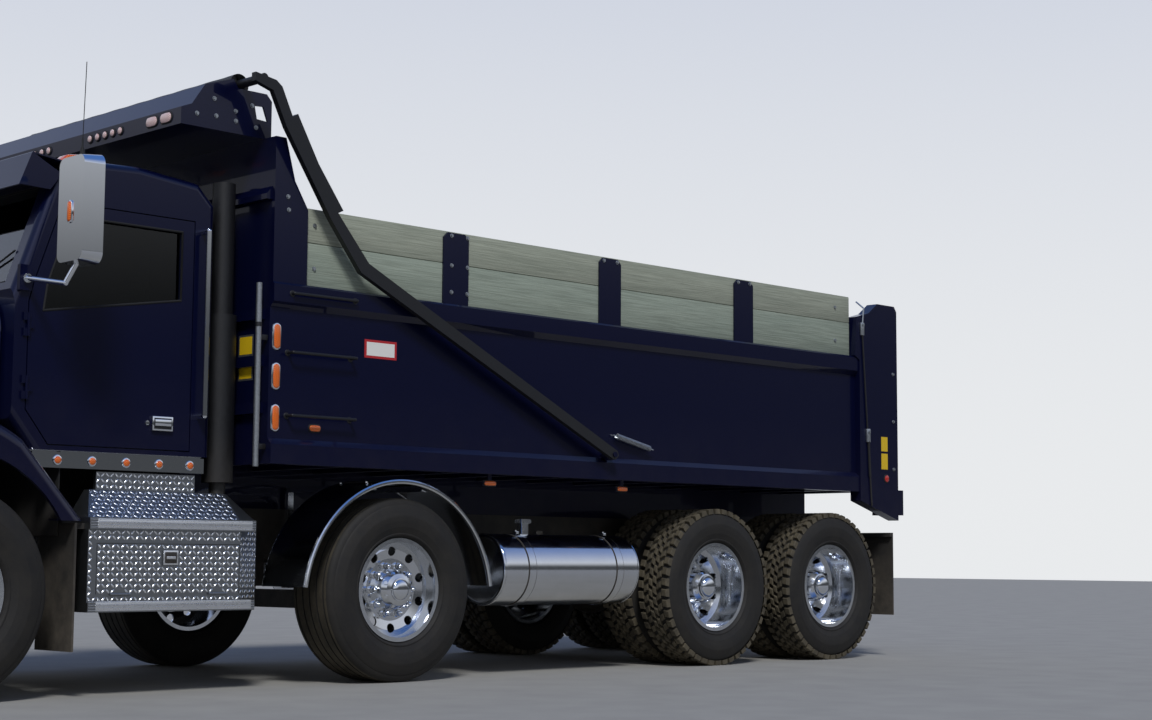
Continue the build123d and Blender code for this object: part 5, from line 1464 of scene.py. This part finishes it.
add_bar(mesh, (WHEEL, WHEEL - WHEEL_AXIS * 0.24), 0.026, 12, 0)
for y in SEAT_Y:
    add_box(mesh, (1.960, y - 0.19, 1.3005), (2.360, y + 0.19, 1.330), 0.006, 1)
    add_turned(mesh, ((0.0, 0.10), (0.02, 0.125), (0.05, 0.10), (0.08, 0.125), (0.11, 0.10), (0.14, 0.125),
                      (0.165, 0.10)), (2.160, y, 1.330), UP, 24, 1)
    add_box(mesh, (1.930, y - 0.22, 1.495), (2.390, y + 0.22, 1.535), 0.010, 1)
    add_box(mesh, (1.915, y - 0.10, 1.500), (1.950, y + 0.10, 1.720), 0.008, 1)
finish_piece("cab_fittings", mesh, (vinyl, black), "chassis")

# %% [markdown]
# ## Splash aprons
# Rubber sheets keep the road's spray off the cab floor. One hangs behind the
# front wheel, from the rail to the fender's tail, and one along the rail.
# They are what makes the space under the cab look black from the side. Flat
# thin boxes are enough, as nothing but their dark faces is seen.

# %% Splash aprons
APRON_TOP_Z, APRON_X = 1.246, 2.562
mesh = bmesh.new()
for name, side in SIDES:
    add_box(mesh, (APRON_X, side * 0.440, 0.815), (APRON_X + 0.006, side * 1.055, APRON_TOP_Z), 0.001)
    add_box(mesh, (1.620, side * 0.570, 0.912), (APRON_X, side * 0.576, APRON_TOP_Z), 0.001)
finish_piece("splash_aprons", mesh, (sheet_rubber,), "chassis")

# %% [markdown]
# ## Cab lamps
# The bright strip under each door carries five amber lamps with thin rims,
# and five wedge shaped lamps stand on the roof's front edge, each on a rubber
# pad that follows the roof's bend and shows a little round the lens. Lens and
# pad are side outlines drawn out across the roof, as a box would not fit it.

# %% Cab lamps
STRIP_LAMPS_X = (2.590, 2.390, 2.188, 1.988, 1.795)
STRIP_FACE_Y, STRIP_Z = 1.0722, 1.200
ROOF_LAMPS_Y = (-0.900, -0.450, 0.0, 0.450, 0.900)
# side outlines of a roof lamp and of its pad
ROOF_LENS = ((2.440, 2.7772), (2.480, 2.7754), (2.540, 2.7436), (2.556, 2.7720), (2.515, 2.8140),
             (2.440, 2.8240))
ROOF_PAD = ((2.434, 2.7775), (2.480, 2.7756), (2.541, 2.7432), (2.5495, 2.7560), (2.482, 2.7890),
            (2.434, 2.7910))
mesh = bmesh.new()
for name, side in SIDES:
    for x in STRIP_LAMPS_X:
        add_lamp(mesh, (x, side * STRIP_FACE_Y, STRIP_Z), (0, side, 0), UP, 0.040, 0.040, 0.014,
                 AMBER, BRIGHT)
for y in ROOF_LAMPS_Y:
    add_slab(mesh, ROOF_LENS, y - 0.045, y + 0.045, 0.010, AMBER)
    add_slab(mesh, ROOF_PAD, y - 0.050, y + 0.050, 0.003, RUBBER)
lamps = finish_piece("cab_marker_lamps", mesh, LENSES, "chassis")
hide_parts("cab_lamps")

# %% [markdown]
# ## Door seals and handles
# Each door window sits in a black rubber seal. It could be cut from the glass's
# mesh, but a round bar along its outline needs only five corners. The door is
# opened with a paddle in a chromed frame, beside a lock barrel. Seal and
# handle swing with the door.

# %% Door trim
DOOR_WINDOW = ((1.870, 2.090), (1.870, 2.465), (2.545, 2.465), (2.672, 2.100), (2.690, 1.960))
SEAL_Y = 1.0585
# the handle's frame, dish and paddle: corners (x, z), its back and face, rounding, finish
HANDLE = (((1.909, 1.379), (2.036, 1.456), 1.0605, 1.0780, 0.003, 0),
          ((1.918, 1.388), (2.027, 1.447), 1.0775, 1.0786, 0.0008, 2),
          ((1.922, 1.404), (2.023, 1.440), 1.0780, 1.0840, 0.003, 0))
LOCK_X, LOCK_Y, LOCK_Z = 2.060, 1.060, 1.418
for name, side in SIDES:
    mesh = bmesh.new()
    add_bar(mesh, [(x, side * SEAL_Y, z) for x, z in DOOR_WINDOW + DOOR_WINDOW[:2]], 0.0065, 8, 1)
    for (low_x, low_z), (high_x, high_z), back, face, rounding, paint in HANDLE:
        add_box(mesh, (low_x, side * back, low_z), (high_x, side * face, high_z), rounding, paint)
    add_turned(mesh, ((0.0, 0.012), (0.006, 0.012), (0.007, 0.0)), (LOCK_X, side * LOCK_Y, LOCK_Z),
               (0, side, 0), 16, 0)
    finish_piece(f"door_trim_{name}", mesh, (chrome, sheet_rubber, black), f"door_{name}")

# %% [markdown]
# ## Windscreen seal and wipers
# The windscreen is two panes with a rubber seal round them and one between.
# Each wiper is an arm on a small hub, with its blade pressed on the glass.
# All of it is placed from two points on the glass's middle line, so that it
# keeps the glass's slope without a turn of its own.

# %% Windscreen trim
SCREEN_TOP, SCREEN_LOW = Vector((2.648, 0, 2.625)), Vector((2.834, 0, 2.100))
SCREEN_OUT = (SCREEN_TOP - SCREEN_LOW).cross(Vector((0, -1, 0))).normalized()
SCREEN_HALF = Vector((0, 0.94, 0))
WIPER_LIFT, BLADE_HALF = SCREEN_OUT * 0.020, 0.26
mesh = bmesh.new()
corners = [SCREEN_TOP + SCREEN_HALF, SCREEN_TOP - SCREEN_HALF, SCREEN_LOW - SCREEN_HALF,
           SCREEN_LOW + SCREEN_HALF]
add_bar(mesh, corners + corners[:2], 0.009, 8, 0)
add_bar(mesh, (SCREEN_TOP, SCREEN_LOW), 0.007, 8, 0)
for y in (0.42, -0.42):
    hub = SCREEN_LOW + WIPER_LIFT + Vector((0.0, y, -0.030))
    tip = SCREEN_LOW + (SCREEN_TOP - SCREEN_LOW) * 0.16 + WIPER_LIFT + Vector((0.0, y + 0.30, 0))
    add_turned(mesh, ((-0.03, 0.016), (0.006, 0.016), (0.012, 0.0)), hub, SCREEN_OUT, 14, 1)
    add_bar(mesh, (hub, tip), 0.006, 8, 1)
    span = (tip - hub).normalized() * BLADE_HALF
    add_bar(mesh, (tip - span - SCREEN_OUT * 0.009, tip + span * 0.9 - SCREEN_OUT * 0.009), 0.0055, 6, 0)
finish_piece("windscreen_trim", mesh, (sheet_rubber, black), "chassis")

# %% [markdown]
# ## Mirrors
# Each mirror has a tall flat glass over a small one for the near field, in a
# rubber rim. A mirror needs no more than a flat box in a bright finish that
# stands a little proud of its rim. An amber marker sits on the front of its
# shell, and a whip antenna stands on top, a thin rod in a cone shaped foot.

# %% Mirror trim
MIRROR_Y, RIM_X, SHELL_X = 1.450, 2.6660, 2.7798
MIRROR_GLASSES_Z = ((2.285, 2.690), (2.165, 2.270))
ANTENNA_X, ANTENNA_TIP_X, ANTENNA_TIP_Z = 2.725, 2.716, 3.180
mesh = bmesh.new()
for name, side in SIDES:
    y = side * MIRROR_Y
    for low, high in MIRROR_GLASSES_Z:
        add_box(mesh, (RIM_X, y - 0.108, low), (RIM_X + 0.0045, y + 0.108, high), 0.0, RUBBER)
        add_box(mesh, (RIM_X - 0.0010, y - 0.100, low + 0.008), (RIM_X + 0.0005, y + 0.100, high - 0.008),
                0.0, BRIGHT)
    add_lamp(mesh, (SHELL_X, y, 2.410), AHEAD, UP, 0.034, 0.104, 0.016, AMBER, BRIGHT)
    add_turned(mesh, ((0.0, 0.014), (0.03, 0.012), (0.05, 0.005), (0.09, 0.004)), (ANTENNA_X, y, 2.698),
               UP, 12, RUBBER)
    add_bar(mesh, ((ANTENNA_X, y, 2.780), (ANTENNA_TIP_X, y, ANTENNA_TIP_Z)), 0.0024, 6, RUBBER)
finish_piece("mirror_trim", mesh, LENSES, "chassis")

# %% [markdown]
# ## The rolled tarp
# The tarp is wound on a steel shaft between the arms' upper ends. Its end
# shows the spiral of about eight turns, and its outside sags a little between
# the arms. It is drawn as one sheet along a spiral, each turn lying 4.7 mm
# outside the last, with small wrinkles that grow towards the outside.

# %% Tarp roll
SHAFT = Vector((1.560, 0.0, 3.330))
ROLL_HALF = 1.11
ROLL_INNER, ROLL_OUTER = 0.028, 0.0645
ROLL_TURNS = 8
SPIRAL_STEPS = 24 * ROLL_TURNS
ROLL_SLICES = 40
WRINKLE = 0.0012

mesh = bmesh.new()
rows = []
for slice_no in range(ROLL_SLICES + 1):
    share = slice_no / ROLL_SLICES
    y = -ROLL_HALF + 2 * ROLL_HALF * share
    row = []
    for step in range(SPIRAL_STEPS + 1):
        wound = step / SPIRAL_STEPS
        angle = math.tau * ROLL_TURNS * wound
        radius = ROLL_INNER + (ROLL_OUTER - ROLL_INNER) * wound
        radius += WRINKLE * wound * math.sin(9 * math.tau * share + 2 * math.sin(angle))
        row.append(mesh.verts.new(SHAFT + Vector((radius * math.cos(angle), y, radius * math.sin(angle)))))
    rows.append(row)
for near, far in zip(rows, rows[1:]):
    for step in range(SPIRAL_STEPS):
        mesh.faces.new((near[step], near[step + 1], far[step + 1], far[step]))
roll = finish_piece("tarp_cloth_roll", mesh, (mesh_cloth,), "tarp_frame")
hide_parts("tarp_roll")

# %% [markdown]
# ## Headlamps
# Each headlamp is a tray with two turned reflectors behind a clear cover,
# held by a bright rim; the outer third is the amber turn signal. A reflector
# is a parabola spun round its axis, with a small bulb's dome in its middle. A
# picture of a lamp on a flat face would be lighter, but only a real bowl
# makes its highlights move with the eye.

# %% Headlamp units
LAMP_Y, LAMP_Z, LAMP_WIDE, LAMP_HIGH = 0.850, 0.950, 0.3294, 0.1794
LAMP_BACK, LAMP_FACE = 4.2803, 4.3253
TRAY = 0.006
BULB, BOWL_RADIUS, BOWL_DEPTH, BOWL_STEPS = 0.012, 0.056, 0.034, 6
BOWL_SHIFTS = (-0.105, 0.010)


def rounded_loop(x, y, z, width, height, radius, corner_steps=4):
    """Points round a rectangle with rounded corners that faces along X."""
    points = []
    for centre_y, centre_z, start in ((1, 1, 0), (-1, 1, 90), (-1, -1, 180), (1, -1, 270)):
        for step in range(corner_steps + 1):
            angle = math.radians(start + 90 * step / corner_steps)
            points.append((x, y + centre_y * (width / 2 - radius) + radius * math.cos(angle),
                           z + centre_z * (height / 2 - radius) + radius * math.sin(angle)))
    return points


bowl = [(BOWL_DEPTH * share ** 2, BULB + (BOWL_RADIUS - BULB) * share)
        for share in (step / BOWL_STEPS for step in range(BOWL_STEPS + 1))]
bowl.append((BOWL_DEPTH, BOWL_RADIUS + 0.005))
mesh = bmesh.new()
for name, side in SIDES:
    y = side * LAMP_Y
    add_box(mesh, (LAMP_BACK, y - LAMP_WIDE / 2, LAMP_Z - LAMP_HIGH / 2),
            (LAMP_BACK + TRAY, y + LAMP_WIDE / 2, LAMP_Z + LAMP_HIGH / 2), 0.002, 2)
    for shift in BOWL_SHIFTS:
        centre = (LAMP_BACK + TRAY, y + side * shift, LAMP_Z)
        add_turned(mesh, bowl, centre, AHEAD, 28, 1)
        add_dome(mesh, centre, AHEAD, UP, 0.022, 0.022, 0.022, 0)
    add_box(mesh, (LAMP_BACK + TRAY, y + side * 0.078, LAMP_Z - 0.070),
            (LAMP_BACK + 0.030, y + side * 0.150, LAMP_Z + 0.070), 0.008, 3)
    cover = rounded_loop(LAMP_FACE - 0.004, y, LAMP_Z, LAMP_WIDE - 0.012, LAMP_HIGH - 0.012, 0.034)
    add_drawn(mesh, cover, (0.003, 0, 0))
    rim = rounded_loop(LAMP_FACE, y, LAMP_Z, LAMP_WIDE, LAMP_HIGH, 0.040)
    add_bar(mesh, rim + rim[:2], 0.007, 8, 1)
units = finish_piece("headlamp_units", mesh, (clear, chrome, black, amber), "hood")
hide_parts("headlamps")

# %% [markdown]
# ## Grille screen
# Behind the upright grille bars lies a screen of wires that keeps insects off
# the radiator. A real one has openings of a few millimetres; this one has a
# wire every 20 mm, each a flat strip 2 mm wide, so that it shows and is light.

# %% Grille screen
SCREEN_PITCH, WIRE_HALF = 0.020, 0.001
UPRIGHT_WIRES, CROSS_WIRES = 46, 35
SCREEN_X, CROSS_WIRE_X = 4.3315, 4.3318
mesh = bmesh.new()
for step in range(UPRIGHT_WIRES):
    y = -0.450 + step * SCREEN_PITCH
    add_box(mesh, (SCREEN_X, y - WIRE_HALF, 0.975), (SCREEN_X + 0.0015, y + WIRE_HALF, 1.665))
for step in range(CROSS_WIRES):
    z = 0.980 + step * SCREEN_PITCH
    add_box(mesh, (CROSS_WIRE_X, -0.452, z - WIRE_HALF), (CROSS_WIRE_X + 0.0014, 0.452, z + WIRE_HALF))
finish_piece("grille_screen", mesh, (zinc,), "hood")

# %% Write the sizes and finish
low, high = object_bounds()
print("visual box", [round(x, 3) for x in low], [round(x, 3) for x in high])
